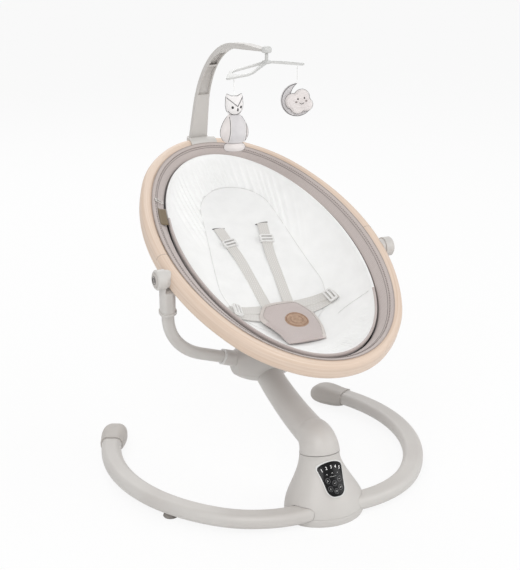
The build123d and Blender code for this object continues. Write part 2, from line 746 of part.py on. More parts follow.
ring_solid = ring_form(0)
ring_clearance = ring_form(SEATED)
for name, sign, keep in (("ring_head_half", 1, Keep.TOP), ("ring_foot_half", -1, Keep.BOTTOM)):
    with BuildPart() as ring_half:
        add(ring_solid)
        seam = Vector(0, RING_Y, RING_Z) + seat_plane.y_dir * (sign * SEATED / 2)
        split(bisect_by=Plane(origin=seam, x_dir=(1, 0, 0), z_dir=seat_plane.y_dir), keep=keep)
    save(ring_half, name)

# Recline hubs: plate and pin on the ring, housing and button on the yoke
HOUSING_INNER = PIVOT_PLATE_FACE + SEATED
RECESS_FLOOR = HOUSING_INNER + HUB_INNER_WALL
for side, sign in SIDES:
    with BuildPart() as seat_pivot:
        with BuildSketch(side_plane(RING_HALF_X, PIVOT_Y, PIVOT_Z, sign)):
            Circle(PIVOT_PLATE_RADIUS)
        extrude(amount=PIVOT_PLATE_FACE - RING_HALF_X)
        with BuildSketch(side_plane(PIVOT_PLATE_FACE, PIVOT_Y, PIVOT_Z, sign)):
            Circle(PIN_RADIUS)
        extrude(amount=PIN_LENGTH)
        with BuildSketch(seat_plane.offset(-RING_DEPTH)):
            oval(RING_HALF_X, RING_HALF_LENGTH)
        extrude(amount=2 * RING_DEPTH, mode=Mode.SUBTRACT)
        add(ring_clearance, mode=Mode.SUBTRACT)
    save(seat_pivot, f"seat_pivot_{side}")

    top = yoke_paths[side] @ 0
    down = yoke_paths[side] % 0
    sleeve_plane = Plane(origin=top, x_dir=yoke_plane.z_dir, z_dir=down)
    with BuildPart() as recline_housing:
        with BuildSketch(side_plane(HOUSING_INNER, PIVOT_Y, PIVOT_Z, sign)):
            Circle(HUB_RADIUS)
        extrude(amount=HOUSING_FACE - HOUSING_INNER)
        chamfer(recline_housing.faces().sort_by(Axis.X)[-1 if sign > 0 else 0].edges(), 2)
        with BuildSketch(sleeve_plane.offset(SLEEVE_TOP - YOKE_TOP)):
            RectangleRounded(SLEEVE_DEPTH, SLEEVE_WIDTH, SLEEVE_DEPTH * 0.4)
        extrude(amount=SLEEVE_FOOT - SLEEVE_TOP)
        with BuildSketch(sleeve_plane.offset(SLEEVE_FOOT - YOKE_TOP)):
            RectangleRounded(LIP_DEPTH, LIP_WIDTH, LIP_DEPTH * 0.42)
        extrude(amount=LIP_HEIGHT)
        below = RING_DEPTH / 2 + SWEEP_GAP
        inner_face = Plane(origin=(sign * HOUSING_INNER, PIVOT_Y, PIVOT_Z), x_dir=(0, 1, 0), z_dir=(1, 0, 0))
        with BuildSketch(inner_face):
            for turn in (RING_TILT - SWEEP_TURN, RING_TILT + SWEEP_TURN):
                foot = Vector(sin(radians(turn)), -cos(radians(turn))) * below
                with Locations(Location((foot.X, foot.Y, 0), (0, 0, turn))):
                    Rectangle(4 * RING_DEPTH, 2 * RING_DEPTH, align=(Align.CENTER, Align.MIN))
        extrude(amount=-sign * 2 * SLEEVE_WIDTH, mode=Mode.SUBTRACT)
        with BuildSketch(side_plane(RECESS_FLOOR, PIVOT_Y, PIVOT_Z, sign)):
            Circle(BUTTON_RADIUS + SEATED)
        extrude(amount=HUB_RADIUS, mode=Mode.SUBTRACT)
        with BuildSketch(side_plane(RING_HALF_X, PIVOT_Y, PIVOT_Z, sign)):
            Circle(PIN_RADIUS + RUNNING)
        extrude(amount=HOUSING_FACE - RING_HALF_X, mode=Mode.SUBTRACT)
        add(yoke_clearances[side], mode=Mode.SUBTRACT)
    save(recline_housing, f"recline_housing_{side}")

    with BuildPart() as recline_button:
        face = HOUSING_FACE + BUTTON_PROUD
        with BuildSketch(side_plane(face - BUTTON_HEIGHT, PIVOT_Y, PIVOT_Z, sign)):
            Circle(BUTTON_RADIUS)
        extrude(amount=BUTTON_HEIGHT)
        chamfer(recline_button.faces().sort_by(Axis.X)[-1 if sign > 0 else 0].edges(), 1.2)
    save(recline_button, f"recline_button_{side}")

# Toy bar: a tapered arch with a channel along its inner side
def bar_strip(inset, width, half_x):
    foot, corner, tip = (Vector(*point) for point in (BAR_FOOT, BAR_CORNER, BAR_TIP))
    leg = (corner - foot).normalized()
    top = (tip - corner).normalized()
    leg_left = Vector(-leg.Y, leg.X)
    top_left = Vector(-top.Y, top.X)
    inner_corner = corner + (leg_left + top_left) * (inset / (1 + leg_left.dot(top_left)))
    with BuildPart() as strip:
        with BuildSketch(Plane.YZ):
            with BuildLine():
                FilletPolyline(
                    foot + leg_left * inset, inner_corner, tip + top_left * inset, radius=BAR_BEND - inset
                )
            trace(line_width=width)
        extrude(amount=half_x, both=True)
    return strip.part


def bar_taper(shrink):
    with BuildPart() as taper:
        with BuildSketch(Plane.XZ):
            Polygon(
                (shrink - BAR_FOOT_HALF, BAR_FOOT[1] - BAR_THICK),
                (BAR_FOOT_HALF - shrink, BAR_FOOT[1] - BAR_THICK),
                (BAR_KNEE_HALF - shrink, BAR_CORNER[1] + 2 * BAR_THICK),
                (shrink - BAR_KNEE_HALF, BAR_CORNER[1] + 2 * BAR_THICK),
                align=None,
            )
        extrude(amount=-2 * BAR_FOOT[0])
        with BuildSketch(Plane.XY):
            Polygon(
                (shrink - BAR_TIP_HALF, BAR_TIP[0] - BAR_THICK),
                (BAR_TIP_HALF - shrink, BAR_TIP[0] - BAR_THICK),
                (BAR_FOOT_HALF - shrink, BAR_FOOT[0] + BAR_THICK),
                (shrink - BAR_FOOT_HALF, BAR_FOOT[0] + BAR_THICK),
                align=None,
            )
        extrude(amount=2 * BAR_TIP[1], mode=Mode.INTERSECT)
    return taper.part


with BuildPart() as bar_channel:
    add(bar_strip((BAR_THICK - CHANNEL_DEPTH) / 2 + 1, CHANNEL_DEPTH + 2, BAR_FOOT_HALF))
    add(bar_taper(BAR_SIDE), mode=Mode.INTERSECT)
    with BuildSketch(Plane.YZ):
        with Locations((CHANNEL_FRONT, CHANNEL_LOW)):
            Rectangle(BAR_FOOT[0], BAR_TIP[1], align=(Align.MIN, Align.MIN))
    extrude(amount=BAR_FOOT_HALF, both=True, mode=Mode.INTERSECT)
    with Locations((0, BAR_CORNER[0], RIB_Z)):
        Box(2 * BAR_FOOT_HALF, BAR_BEND, RIB_THICK, mode=Mode.SUBTRACT)

with BuildPart() as toy_bar:
    add(bar_strip(0, BAR_THICK, BAR_FOOT_HALF))
    add(bar_taper(0), mode=Mode.INTERSECT)
    add(bar_channel.part, mode=Mode.SUBTRACT)
save(toy_bar, "toy_bar")

# Toy bar bracket, clipped over the ring's head end
bar_run = Vector(0, BAR_CORNER[0] - BAR_FOOT[0], BAR_CORNER[1] - BAR_FOOT[1]).normalized()
bar_plane = Plane(origin=(0, *BAR_FOOT), x_dir=(1, 0, 0), z_dir=bar_run)
with BuildPart() as toy_bar_bracket:
    add(ring_form(BRACKET_WALL))
    with BuildSketch(seat_plane.offset(-RING_DEPTH)):
        with Locations((0, RING_HALF_LENGTH)):
            Rectangle(2 * BRACKET_HALF_X, 3 * RING_BAND)
    extrude(amount=2 * RING_DEPTH, mode=Mode.INTERSECT)
    with BuildSketch(bar_plane.offset(-RING_BAND)):
        RectangleRounded(SOCKET_BLOCK_X, SOCKET_BLOCK_Y, SOCKET_BLOCK_Y * 0.35)
    extrude(amount=RING_BAND)
    with BuildSketch(seat_plane.offset(-RING_DEPTH)):
        oval(RING_HALF_X, RING_HALF_LENGTH, grow=-RING_BAND / 2)
    extrude(amount=2 * RING_DEPTH, mode=Mode.SUBTRACT)
    add(ring_clearance, mode=Mode.SUBTRACT)
    add(bar_strip(0, BAR_THICK + 2 * SEATED, BAR_FOOT_HALF + SEATED), mode=Mode.SUBTRACT)
save(toy_bar_bracket, "toy_bar_bracket")

TIP_BOTTOM = BAR_TIP[1] - BAR_THICK / 2 + TIP_LIFT
with BuildPart() as toy_bar_end:
    with Locations((0, HANGER_Y, TIP_BOTTOM)):
        Cylinder(TIP_RADIUS, TIP_HEIGHT, align=(Align.CENTER, Align.CENTER, Align.MIN))
    fillet(toy_bar_end.edges().sort_by(Axis.Z)[-1], TIP_RADIUS * 0.6)
    chamfer(toy_bar_end.edges().sort_by(Axis.Z)[0], 1.5)
    with Locations((0, HANGER_Y, TIP_BOTTOM)):
        Cylinder(
            STEM_RADIUS + RUNNING,
            STEM_GRIP + SEATED,
            align=(Align.CENTER, Align.CENTER, Align.MIN),
            mode=Mode.SUBTRACT,
        )
save(toy_bar_end, "toy_bar_end")

# Hanger: two drooping loops on a stem that turns in the bar's end
with BuildPart() as toy_hanger:
    with Locations((0, HANGER_Y, HANGER_Z)):
        Cylinder(HANGER_HUB_RADIUS, HUB_THICK)
        Cylinder(
            STEM_RADIUS,
            TIP_BOTTOM + STEM_GRIP - HANGER_Z,
            align=(Align.CENTER, Align.CENTER, Align.MIN),
        )
    chamfer(toy_hanger.edges().filter_by(GeomType.CIRCLE).group_by(SortBy.RADIUS)[-1], 1)
    droop = asin(HANGER_DROOP / HANGER_REACH)
    for turn in (HANGER_TURN, HANGER_TURN + 180):
        out = Vector(cos(radians(turn)), sin(radians(turn)), 0)
        along = out * cos(droop) + Vector(0, 0, -sin(droop))
        normal = out * sin(droop) + Vector(0, 0, cos(droop))
        loop_plane = Plane(origin=(0, HANGER_Y, HANGER_Z), x_dir=along, z_dir=normal)
        with BuildSketch(loop_plane.offset(-HANGER_THICK / 2)):
            with Locations((HANGER_HUB_RADIUS / 2, 0)):
                Circle(HANGER_STRAND)
            with Locations((HANGER_REACH * 0.64, 0)):
                Circle(HANGER_HALF_WIDTH)
            with Locations((HANGER_REACH - HANGER_STRAND, 0)):
                Circle(HANGER_STRAND)
            make_hull()
            with BuildSketch(mode=Mode.SUBTRACT):
                with Locations((2 * HANGER_HUB_RADIUS, 0)):
                    Circle(HANGER_STRAND / 2)
                with Locations((HANGER_REACH * 0.62, 0)):
                    Circle(HANGER_HALF_WIDTH - HANGER_STRAND)
                with Locations((HANGER_REACH * LOOP_END, 0)):
                    Circle(HANGER_STRAND / 2)
                make_hull()
        extrude(amount=HANGER_THICK)
save(toy_hanger, "toy_hanger")


# Toys on strings
def toy_place(turn):
    out = Vector(cos(radians(turn)), sin(radians(turn)), 0) * (HANGER_REACH * STRING_AT * cos(droop))
    return Vector(0, HANGER_Y, HANGER_Z - HANGER_DROOP * STRING_AT) + out


def string_to(name, top):
    with BuildPart() as string:
        with Locations(top - Vector(0, 0, HANGER_THICK * 0.6)):
            Cylinder(STRING_RADIUS, STRING_LENGTH, align=(Align.CENTER, Align.CENTER, Align.MAX))
    save(string, name)


def stuffed(place, turn, levels):
    with BuildPart() as form:
        for rise, half_x, half_y in levels:
            with BuildSketch(Plane(place + Vector(0, 0, rise)).rotated((0, 0, turn))):
                oval(half_x, half_y)
        loft()
    return form.part


owl_top = toy_place(HANGER_TURN + 180)
string_to("owl_string", owl_top)
owl_crown = owl_top - Vector(0, 0, HANGER_THICK * 0.6 + STRING_LENGTH + SEATED / 3)
owl_waist = owl_crown - Vector(0, 0, OWL_HEAD_HEIGHT)
owl_foot = owl_waist - Vector(0, 0, OWL_BODY_HEIGHT)
with BuildPart() as owl_body:
    add(stuffed(owl_foot, OWL_TURN, (
        (0, OWL_BODY_HALF_X * 0.62, OWL_BODY_HALF_Y * 0.66),
        (OWL_BODY_HEIGHT * 0.3, OWL_BODY_HALF_X, OWL_BODY_HALF_Y),
        (OWL_BODY_HEIGHT * 0.65, OWL_BODY_HALF_X * 0.86, OWL_BODY_HALF_Y * 0.92),
        (OWL_BODY_HEIGHT, OWL_BODY_HALF_X * 0.4, OWL_BODY_HALF_Y * 0.55),
    )))
save(owl_body, "owl_body")

with BuildPart() as owl_head:
    add(stuffed(owl_waist + Vector(0, 0, SEATED), OWL_TURN, (
        (0, OWL_HEAD_HALF_X * 0.68, OWL_HEAD_HALF_Y * 0.66),
        (OWL_HEAD_HEIGHT * 0.35, OWL_HEAD_HALF_X, OWL_HEAD_HALF_Y),
        (OWL_HEAD_HEIGHT * 0.7, OWL_HEAD_HALF_X, OWL_HEAD_HALF_Y * 0.85),
        (OWL_HEAD_HEIGHT - SEATED, OWL_HEAD_HALF_X * 0.8, OWL_HEAD_HALF_Y * 0.58),
    )))
save(owl_head, "owl_head")

with BuildPart() as owl_roll:
    add(stuffed(owl_foot - Vector(0, 0, OWL_ROLL_HEIGHT + SEATED), OWL_TURN, (
        (0, OWL_ROLL_HALF_X * 0.75, OWL_ROLL_HALF_Y * 0.6),
        (OWL_ROLL_HEIGHT / 2, OWL_ROLL_HALF_X, OWL_ROLL_HALF_Y),
        (OWL_ROLL_HEIGHT, OWL_ROLL_HALF_X * 0.75, OWL_ROLL_HALF_Y * 0.6),
    )))
save(owl_roll, "owl_roll")

cloud_top = toy_place(HANGER_TURN)
string_to("cloud_string", cloud_top)
moon_top = cloud_top - Vector(0, 0, HANGER_THICK * 0.6 + STRING_LENGTH + SEATED / 3)
moon_centre = moon_top - Vector(0, 0, MOON_RADIUS)
moon_front = Vector(sin(radians(MOON_TURN)), -cos(radians(MOON_TURN)), 0)
moon_plane = Plane(
    origin=moon_centre, x_dir=(cos(radians(MOON_TURN)), sin(radians(MOON_TURN)), 0), z_dir=moon_front
)


with BuildPart() as crescent_moon:
    for face in (1, -1):
        with BuildSketch(moon_plane):
            Circle(MOON_RADIUS)
            bite = radians(MOON_BITE_ANGLE)
            with Locations((MOON_BITE_SHIFT * cos(bite), MOON_BITE_SHIFT * sin(bite))):
                Circle(MOON_BITE_RADIUS, mode=Mode.SUBTRACT)
        extrude(amount=face * MOON_THICK / 2, taper=TOY_TAPER)
save(crescent_moon, "crescent_moon")

with BuildPart() as cloud:
    for face in (1, -1):
        with BuildSketch(moon_plane.offset((MOON_THICK + CLOUD_THICK) / 2 + SEATED)):
            for x, y, radius in CLOUD_PUFFS:
                with Locations((x, y)):
                    Circle(radius)
        extrude(amount=face * CLOUD_THICK / 2, taper=TOY_TAPER)
save(cloud, "cloud")


# Soft seat: bowls lofted through level ovals of the seat plane
def bowl(levels, deepen=1.0, lift=0.0, grow=0.0, collar=0.0):
    with BuildPart() as form:
        for level, half_x, half_length, shift in levels:
            with BuildSketch(seat_plane.offset(level * deepen + lift)):
                oval(half_x + grow, half_length + grow, shift=shift)
        loft(ruled=True)
        if collar:
            level, half_x, half_length, shift = levels[0]
            with BuildSketch(seat_plane.offset(level * deepen + lift)):
                oval(half_x + grow, half_length + grow, shift=shift)
            extrude(amount=collar)
    return form.part


seat_surface = bowl(SEAT_LEVELS, collar=RING_DEPTH)
cushion_floor = bowl(SEAT_LEVELS, deepen=CAVITY_SHARE, collar=RING_DEPTH)

with BuildPart() as seat_sling:
    add(bowl(SLING_LEVELS))
    add(bowl(SLING_LEVELS, lift=SLING_THICK, grow=-SLING_THICK, collar=RING_DEPTH), mode=Mode.SUBTRACT)
save(seat_sling, "seat_sling")

with BuildPart() as seat_liner:
    add(bowl(LINER_LEVELS))
    add(cushion_floor, mode=Mode.SUBTRACT)
save(seat_liner, "seat_liner")

with BuildPart() as inner_cushion:
    add(bowl(SEAT_LEVELS, deepen=CAVITY_SHARE, lift=SEATED))
    add(seat_surface, mode=Mode.SUBTRACT)
    with BuildSketch(seat_plane.offset(-2 * SEAT_DEPTH)):
        with Locations((0, CUSHION_HEAD_AT)):
            Circle(CUSHION_HEAD_RADIUS)
        with Locations((0, CUSHION_SEAT_AT)):
            Circle(CUSHION_SEAT_RADIUS)
        make_hull()
    extrude(amount=3 * SEAT_DEPTH, mode=Mode.INTERSECT)
save(inner_cushion, "inner_cushion")


# Harness, laid on the seat's surface
def seat_level(x, w):
    low = SEAT_LEVELS[-1][0]
    high = SEAT_LEVELS[0][0]
    for _ in range(24):
        middle = (low + high) / 2
        for upper, lower in zip(SEAT_LEVELS, SEAT_LEVELS[1:]):
            if lower[0] <= middle <= upper[0]:
                share = (upper[0] - middle) / (upper[0] - lower[0])
                half_x, half_length, shift = (
                    near + (far - near) * share for near, far in zip(upper[1:], lower[1:])
                )
        if hypot(x / half_x, (w - shift) / half_length) > 1:
            low = middle
        else:
            high = middle
    return middle


def seat_point(x, w, lift):
    return seat_plane.from_local_coords(Vector(x, w, seat_level(x, w) + lift))


def lie_plane(near, far):
    start = seat_point(*near, WEB_LIFT)
    run = seat_point(*far, WEB_LIFT) - start
    across = seat_plane.z_dir.cross(run)
    return Plane(origin=start + run / 2, x_dir=run, z_dir=run.cross(across)), run.length


def webbing(name, points):
    with BuildPart() as band:
        for near, far in zip(points, points[1:]):
            lie, length = lie_plane(near, far)
            with BuildSketch(lie):
                SlotOverall(length + WEB_WIDTH * 0.7, WEB_WIDTH)
            extrude(amount=WEB_THICK)
    save(band, name)


def adjuster(name, near, far):
    with BuildPart() as buckle:
        with BuildSketch(lie_plane(near, far)[0].offset(WEB_THICK + SEATED)):
            RectangleRounded(ADJUSTER_LENGTH, ADJUSTER_WIDTH, 3)
            with Locations((ADJUSTER_LENGTH * 0.22, 0), (-ADJUSTER_LENGTH * 0.22, 0)):
                Rectangle(ADJUSTER_LENGTH * 0.2, WEB_WIDTH + 1, mode=Mode.SUBTRACT)
        extrude(amount=ADJUSTER_THICK)
    save(buckle, name)


for side, sign in SIDES:
    shoulder = [(sign * x, w) for x, w in SHOULDER_STRAP]
    waist = [(sign * x, w) for x, w in WAIST_STRAP]
    webbing(f"shoulder_strap_{side}", shoulder)
    adjuster(f"shoulder_adjuster_{side}", shoulder[0], shoulder[1])
    webbing(f"waist_strap_{side}", waist)
    adjuster(f"waist_adjuster_{side}", waist[0], waist[1])

with BuildPart() as crotch_pad:
    for w, half_x in PAD_OUTLINE:
        place = seat_point(0, w, PAD_LIFT)
        with BuildSketch(Plane(origin=place, x_dir=(1, 0, 0), z_dir=-seat_plane.y_dir)):
            with BuildLine():
                ThreePointArc((-half_x, 0), (0, PAD_THICK / 2), (half_x, 0))
                ThreePointArc((half_x, 0), (0, -PAD_THICK / 2), (-half_x, 0))
            make_face()
    loft()
save(crotch_pad, "crotch_pad")

with BuildPart() as harness_buckle:
    buckle_place = seat_point(0, BUCKLE_AT, BUCKLE_LIFT)
    with BuildSketch(Plane(origin=buckle_place, x_dir=(1, 0, 0), z_dir=seat_plane.z_dir)):
        RectangleRounded(2 * BUCKLE_HALF_X, 2 * BUCKLE_HALF_LENGTH, 4)
    extrude(amount=BUCKLE_THICK)
    chamfer(harness_buckle.faces().sort_by(Axis(seat_plane.origin, seat_plane.z_dir))[-1].edges(), 1)
save(harness_buckle, "harness_buckle")
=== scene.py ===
import json
import math
import random
import bpy
import bmesh
from mathutils import Matrix, Vector


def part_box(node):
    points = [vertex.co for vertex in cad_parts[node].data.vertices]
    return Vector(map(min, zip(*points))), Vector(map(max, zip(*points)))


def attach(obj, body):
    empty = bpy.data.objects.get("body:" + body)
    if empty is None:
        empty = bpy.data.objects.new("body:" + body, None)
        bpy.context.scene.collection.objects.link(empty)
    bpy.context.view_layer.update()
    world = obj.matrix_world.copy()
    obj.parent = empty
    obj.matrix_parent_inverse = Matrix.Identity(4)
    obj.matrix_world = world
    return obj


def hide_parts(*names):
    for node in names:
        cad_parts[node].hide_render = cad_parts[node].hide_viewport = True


# Baby swing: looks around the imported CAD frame, in metres
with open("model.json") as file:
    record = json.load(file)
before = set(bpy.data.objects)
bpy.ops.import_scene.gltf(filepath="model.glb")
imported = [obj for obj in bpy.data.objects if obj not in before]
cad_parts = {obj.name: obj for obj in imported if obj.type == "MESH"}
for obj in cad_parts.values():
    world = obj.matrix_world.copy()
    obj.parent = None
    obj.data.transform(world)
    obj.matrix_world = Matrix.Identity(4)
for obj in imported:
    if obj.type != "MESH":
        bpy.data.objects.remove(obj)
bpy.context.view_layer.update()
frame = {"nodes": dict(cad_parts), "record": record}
nodes = frame["nodes"]
print("frame loaded", len(nodes))


# An sRGB hex colour as linear values
def hexColour(text):
    channels = [int(text[i:i + 2], 16) / 255 for i in (0, 2, 4)]
    linear = [c / 12.92 if c <= 0.04045 else ((c + 0.055) / 1.055) ** 2.4 for c in channels]
    return (*linear, 1.0)


# One node with its settings, and its inputs as values or links
def addNode(tree, kind, inputs=None, **settings):
    node = tree.nodes.new(kind)
    for key, value in settings.items():
        setattr(node, key, value)
    for key, value in (inputs or {}).items():
        if isinstance(value, bpy.types.NodeSocket):
            tree.links.new(value, node.inputs[key])
        else:
            node.inputs[key].default_value = value
    return node


# A material with its shader's sockets set, and the coordinates that its patterns read
def startMaterial(name, roughness, ior, sockets, space="Object"):
    material = bpy.data.materials.new(name)
    material.use_nodes = True
    tree = material.node_tree
    shader = tree.nodes["Principled BSDF"]
    for key, value in {"Roughness": roughness, "IOR": ior, **sockets}.items():
        shader.inputs[key].default_value = value
    place = addNode(tree, "ShaderNodeTexCoord").outputs[space]
    return material, tree, shader, place


def blendColours(tree, shader, factor, low, high, lowAt=0.35, highAt=0.65):
    ramp = addNode(tree, "ShaderNodeValToRGB", {"Fac": factor})
    ramp.color_ramp.elements[0].position = lowAt
    ramp.color_ramp.elements[1].position = highAt
    ramp.color_ramp.elements[0].color = hexColour(low)
    ramp.color_ramp.elements[1].color = hexColour(high)
    tree.links.new(ramp.outputs["Color"], shader.inputs["Base Color"])


def addBump(tree, shader, height, strength, distance):
    bump = addNode(
        tree, "ShaderNodeBump", {"Height": height, "Strength": strength, "Distance": distance}
    )
    tree.links.new(bump.outputs["Normal"], shader.inputs["Normal"])


# Moulded ABS: a fine spark texture and a faint drift of tone
def mouldedPlastic(name, low, high, roughness, grit=0.0022, depth=0.00012, coat=0.0, gloss=0.5):
    material, tree, shader, place = startMaterial(
        name, roughness, 1.53, {"Coat Weight": coat, "Specular IOR Level": gloss}
    )
    drift = addNode(tree, "ShaderNodeTexNoise", {"Vector": place, "Scale": 9.0, "Detail": 3.0})
    blendColours(tree, shader, drift.outputs["Fac"], low, high)
    # the real grit is near 0.2 mm, drawn at 2 mm so that it shows; the tone drifts over 110 mm
    spark = addNode(tree, "ShaderNodeTexNoise", {"Vector": place, "Scale": 1 / grit, "Detail": 2.0})
    addBump(tree, shader, spark.outputs["Fac"], 0.25, depth)
    rough = addNode(
        tree,
        "ShaderNodeMapRange",
        {"Value": spark.outputs["Fac"], "To Min": roughness - 0.05, "To Max": roughness + 0.06},
    )
    tree.links.new(rough.outputs["Result"], shader.inputs["Roughness"])
    return material


# The seat's plane, which leans back, and the ring's half width and length
seat = {
    "tilt": math.radians(23.15),
    "centre": Vector((0, 0.2284, 0.4297)),
    "ringHalf": (0.206, 0.324),
}


# Object coordinates turned into the seat's plane, so that patterns lie along it
def alongSeat(tree, place):
    return addNode(
        tree,
        "ShaderNodeMapping",
        {"Vector": place, "Location": seat["centre"], "Rotation": (seat["tilt"], 0, 0)},
        vector_type="TEXTURE",
    ).outputs["Vector"]


# Steam-bent beech: fine pores and growth lines that run round the ring
def bentBeech(name, low, high):
    material, tree, shader, place = startMaterial(
        name, 0.48, 1.5, {"Coat Weight": 0.12, "Coat Roughness": 0.4}
    )
    roundness = (1.0, seat["ringHalf"][0] / seat["ringHalf"][1], 1.0)  # makes the oval a circle
    squeeze = addNode(
        tree,
        "ShaderNodeVectorMath",
        {0: alongSeat(tree, place), 1: roundness},
        operation="MULTIPLY",
    ).outputs["Vector"]
    turn = addNode(tree, "ShaderNodeTexGradient", {"Vector": squeeze}, gradient_type="RADIAL")
    parts = addNode(tree, "ShaderNodeSeparateXYZ", {"Vector": squeeze})
    level = addNode(tree, "ShaderNodeVectorMath", {0: squeeze, 1: (1, 1, 0)}, operation="MULTIPLY")
    reach = addNode(tree, "ShaderNodeVectorMath", {0: level.outputs["Vector"]}, operation="LENGTH")
    grain = addNode(
        tree,
        "ShaderNodeCombineXYZ",
        {"X": turn.outputs["Fac"], "Y": reach.outputs["Value"], "Z": parts.outputs["Z"]},
    )
    # growth lines 3.3 mm apart across the band, and a fifth of the way round it long
    lines = addNode(
        tree, "ShaderNodeMapping", {"Vector": grain.outputs["Vector"], "Scale": (5.0, 300.0, 300.0)}
    )
    fine = addNode(
        tree,
        "ShaderNodeTexNoise",
        {"Vector": lines.outputs["Vector"], "Scale": 1.0, "Detail": 5.0, "Distortion": 0.4},
    )
    blendColours(tree, shader, fine.outputs["Fac"], low, high, 0.3, 0.7)
    # pores 1.1 mm wide and 28 mm long, coarser than the real ones so that they show
    pores = addNode(
        tree, "ShaderNodeMapping", {"Vector": grain.outputs["Vector"], "Scale": (60, 900, 900)}
    )
    speck = addNode(
        tree, "ShaderNodeTexNoise", {"Vector": pores.outputs["Vector"], "Scale": 1.0, "Detail": 2.0}
    )
    addBump(tree, shader, speck.outputs["Fac"], 0.18, 0.0003)
    return material


# Woven cloth: two crossed sets of threads in the seat's own plane
def wovenCloth(name, low, high, spacing, roughness=0.85, depth=0.0004, sheen=0.25):
    material, tree, shader, place = startMaterial(
        name, roughness, 1.45, {"Sheen Weight": sheen, "Sheen Roughness": 0.5}
    )
    flat = alongSeat(tree, place)
    # at a scale of 1 a wave texture repeats every pi/10 units; the real threads are about
    # 0.5 mm apart, so the spacing and the 2.4 mm flecks are drawn coarser to show
    scale = math.pi / (10 * spacing)
    threads = {"Vector": flat, "Scale": scale, "Distortion": 0.6, "Detail": 1.0}
    warp = addNode(tree, "ShaderNodeTexWave", threads, bands_direction="X")
    weft = addNode(tree, "ShaderNodeTexWave", threads, bands_direction="DIAGONAL")
    crossed = {0: warp.outputs["Fac"], 1: weft.outputs["Fac"]}
    cross = addNode(tree, "ShaderNodeMath", crossed, operation="MULTIPLY")
    fleck = addNode(tree, "ShaderNodeTexNoise", {"Vector": flat, "Scale": 420.0, "Detail": 3.0})
    flecked = {0: cross.outputs["Value"], 1: fleck.outputs["Fac"]}
    mix = addNode(tree, "ShaderNodeMath", flecked, operation="ADD")
    half = addNode(tree, "ShaderNodeMath", {0: mix.outputs["Value"], 1: 0.6}, operation="MULTIPLY")
    blendColours(tree, shader, half.outputs["Value"], low, high, 0.2, 0.7)
    addBump(tree, shader, half.outputs["Value"], 0.35, depth)
    return material


# Brushed jersey or plush: a soft nap with a faint cloudy tone
def nappedCloth(name, low, high, nap=0.0035, depth=0.0006, sheen=0.3):
    material, tree, shader, place = startMaterial(
        name, 0.9, 1.45, {"Sheen Weight": sheen, "Sheen Roughness": 0.6}
    )
    cloudy = addNode(tree, "ShaderNodeTexNoise", {"Vector": place, "Scale": 40.0, "Detail": 4.0})
    blendColours(tree, shader, cloudy.outputs["Fac"], low, high)
    # the real nap is under 1 mm, drawn coarser so that it shows
    fibre = addNode(
        tree,
        "ShaderNodeTexNoise",
        {"Vector": place, "Scale": 1 / nap, "Detail": 4.0, "Roughness": 0.65},
    )
    addBump(tree, shader, fibre.outputs["Fac"], 0.3, depth)
    return material


# Polyester webbing: ribs along the strap and a twill across, on the strap's own UV map
def ribbedWebbing(name, low, high):
    material, tree, shader, place = startMaterial(name, 0.75, 1.5, {"Sheen Weight": 0.2}, "UV")
    # ribs 2.4 mm apart and a twill of 1.7 mm, coarser than the real ones so that they show
    along = {"Vector": place, "Scale": 130.0, "Distortion": 0.3}
    slant = {"Vector": place, "Scale": 190.0, "Distortion": 0.2}
    ribs = addNode(tree, "ShaderNodeTexWave", along, bands_direction="X")
    twill = addNode(tree, "ShaderNodeTexWave", slant, bands_direction="DIAGONAL")
    crossed = {0: ribs.outputs["Fac"], 1: twill.outputs["Fac"]}
    cross = addNode(tree, "ShaderNodeMath", crossed, operation="MULTIPLY")
    blendColours(tree, shader, cross.outputs["Value"], low, high, 0.0, 0.8)
    addBump(tree, shader, cross.outputs["Value"], 0.2, 0.0003)
    return material


# Tanned leather: pebbled grain, darker in its creases
def tannedLeather(name, low, high):
    material, tree, shader, place = startMaterial(name, 0.55, 1.5, {})
    # pebbles 1.7 mm across, about twice the real ones, so that they show
    pebble = addNode(tree, "ShaderNodeTexVoronoi", {"Vector": place, "Scale": 600.0})
    cloudy = addNode(tree, "ShaderNodeTexNoise", {"Vector": place, "Scale": 180.0, "Detail": 4.0})
    blendColours(tree, shader, cloudy.outputs["Fac"], low, high)
    addBump(tree, shader, pebble.outputs["Distance"], 0.3, 0.0003)
    return material


# Turned metal: fine lathe marks
def turnedMetal(name, low, high):
    material, tree, shader, place = startMaterial(name, 0.32, 1.5, {"Metallic": 1.0})
    # the real marks are under 0.2 mm, drawn at 2 mm so that they show
    marks = addNode(tree, "ShaderNodeTexNoise", {"Vector": place, "Scale": 500.0, "Detail": 3.0})
    blendColours(tree, shader, marks.outputs["Fac"], low, high)
    addBump(tree, shader, marks.outputs["Fac"], 0.1, 0.0001)
    return material


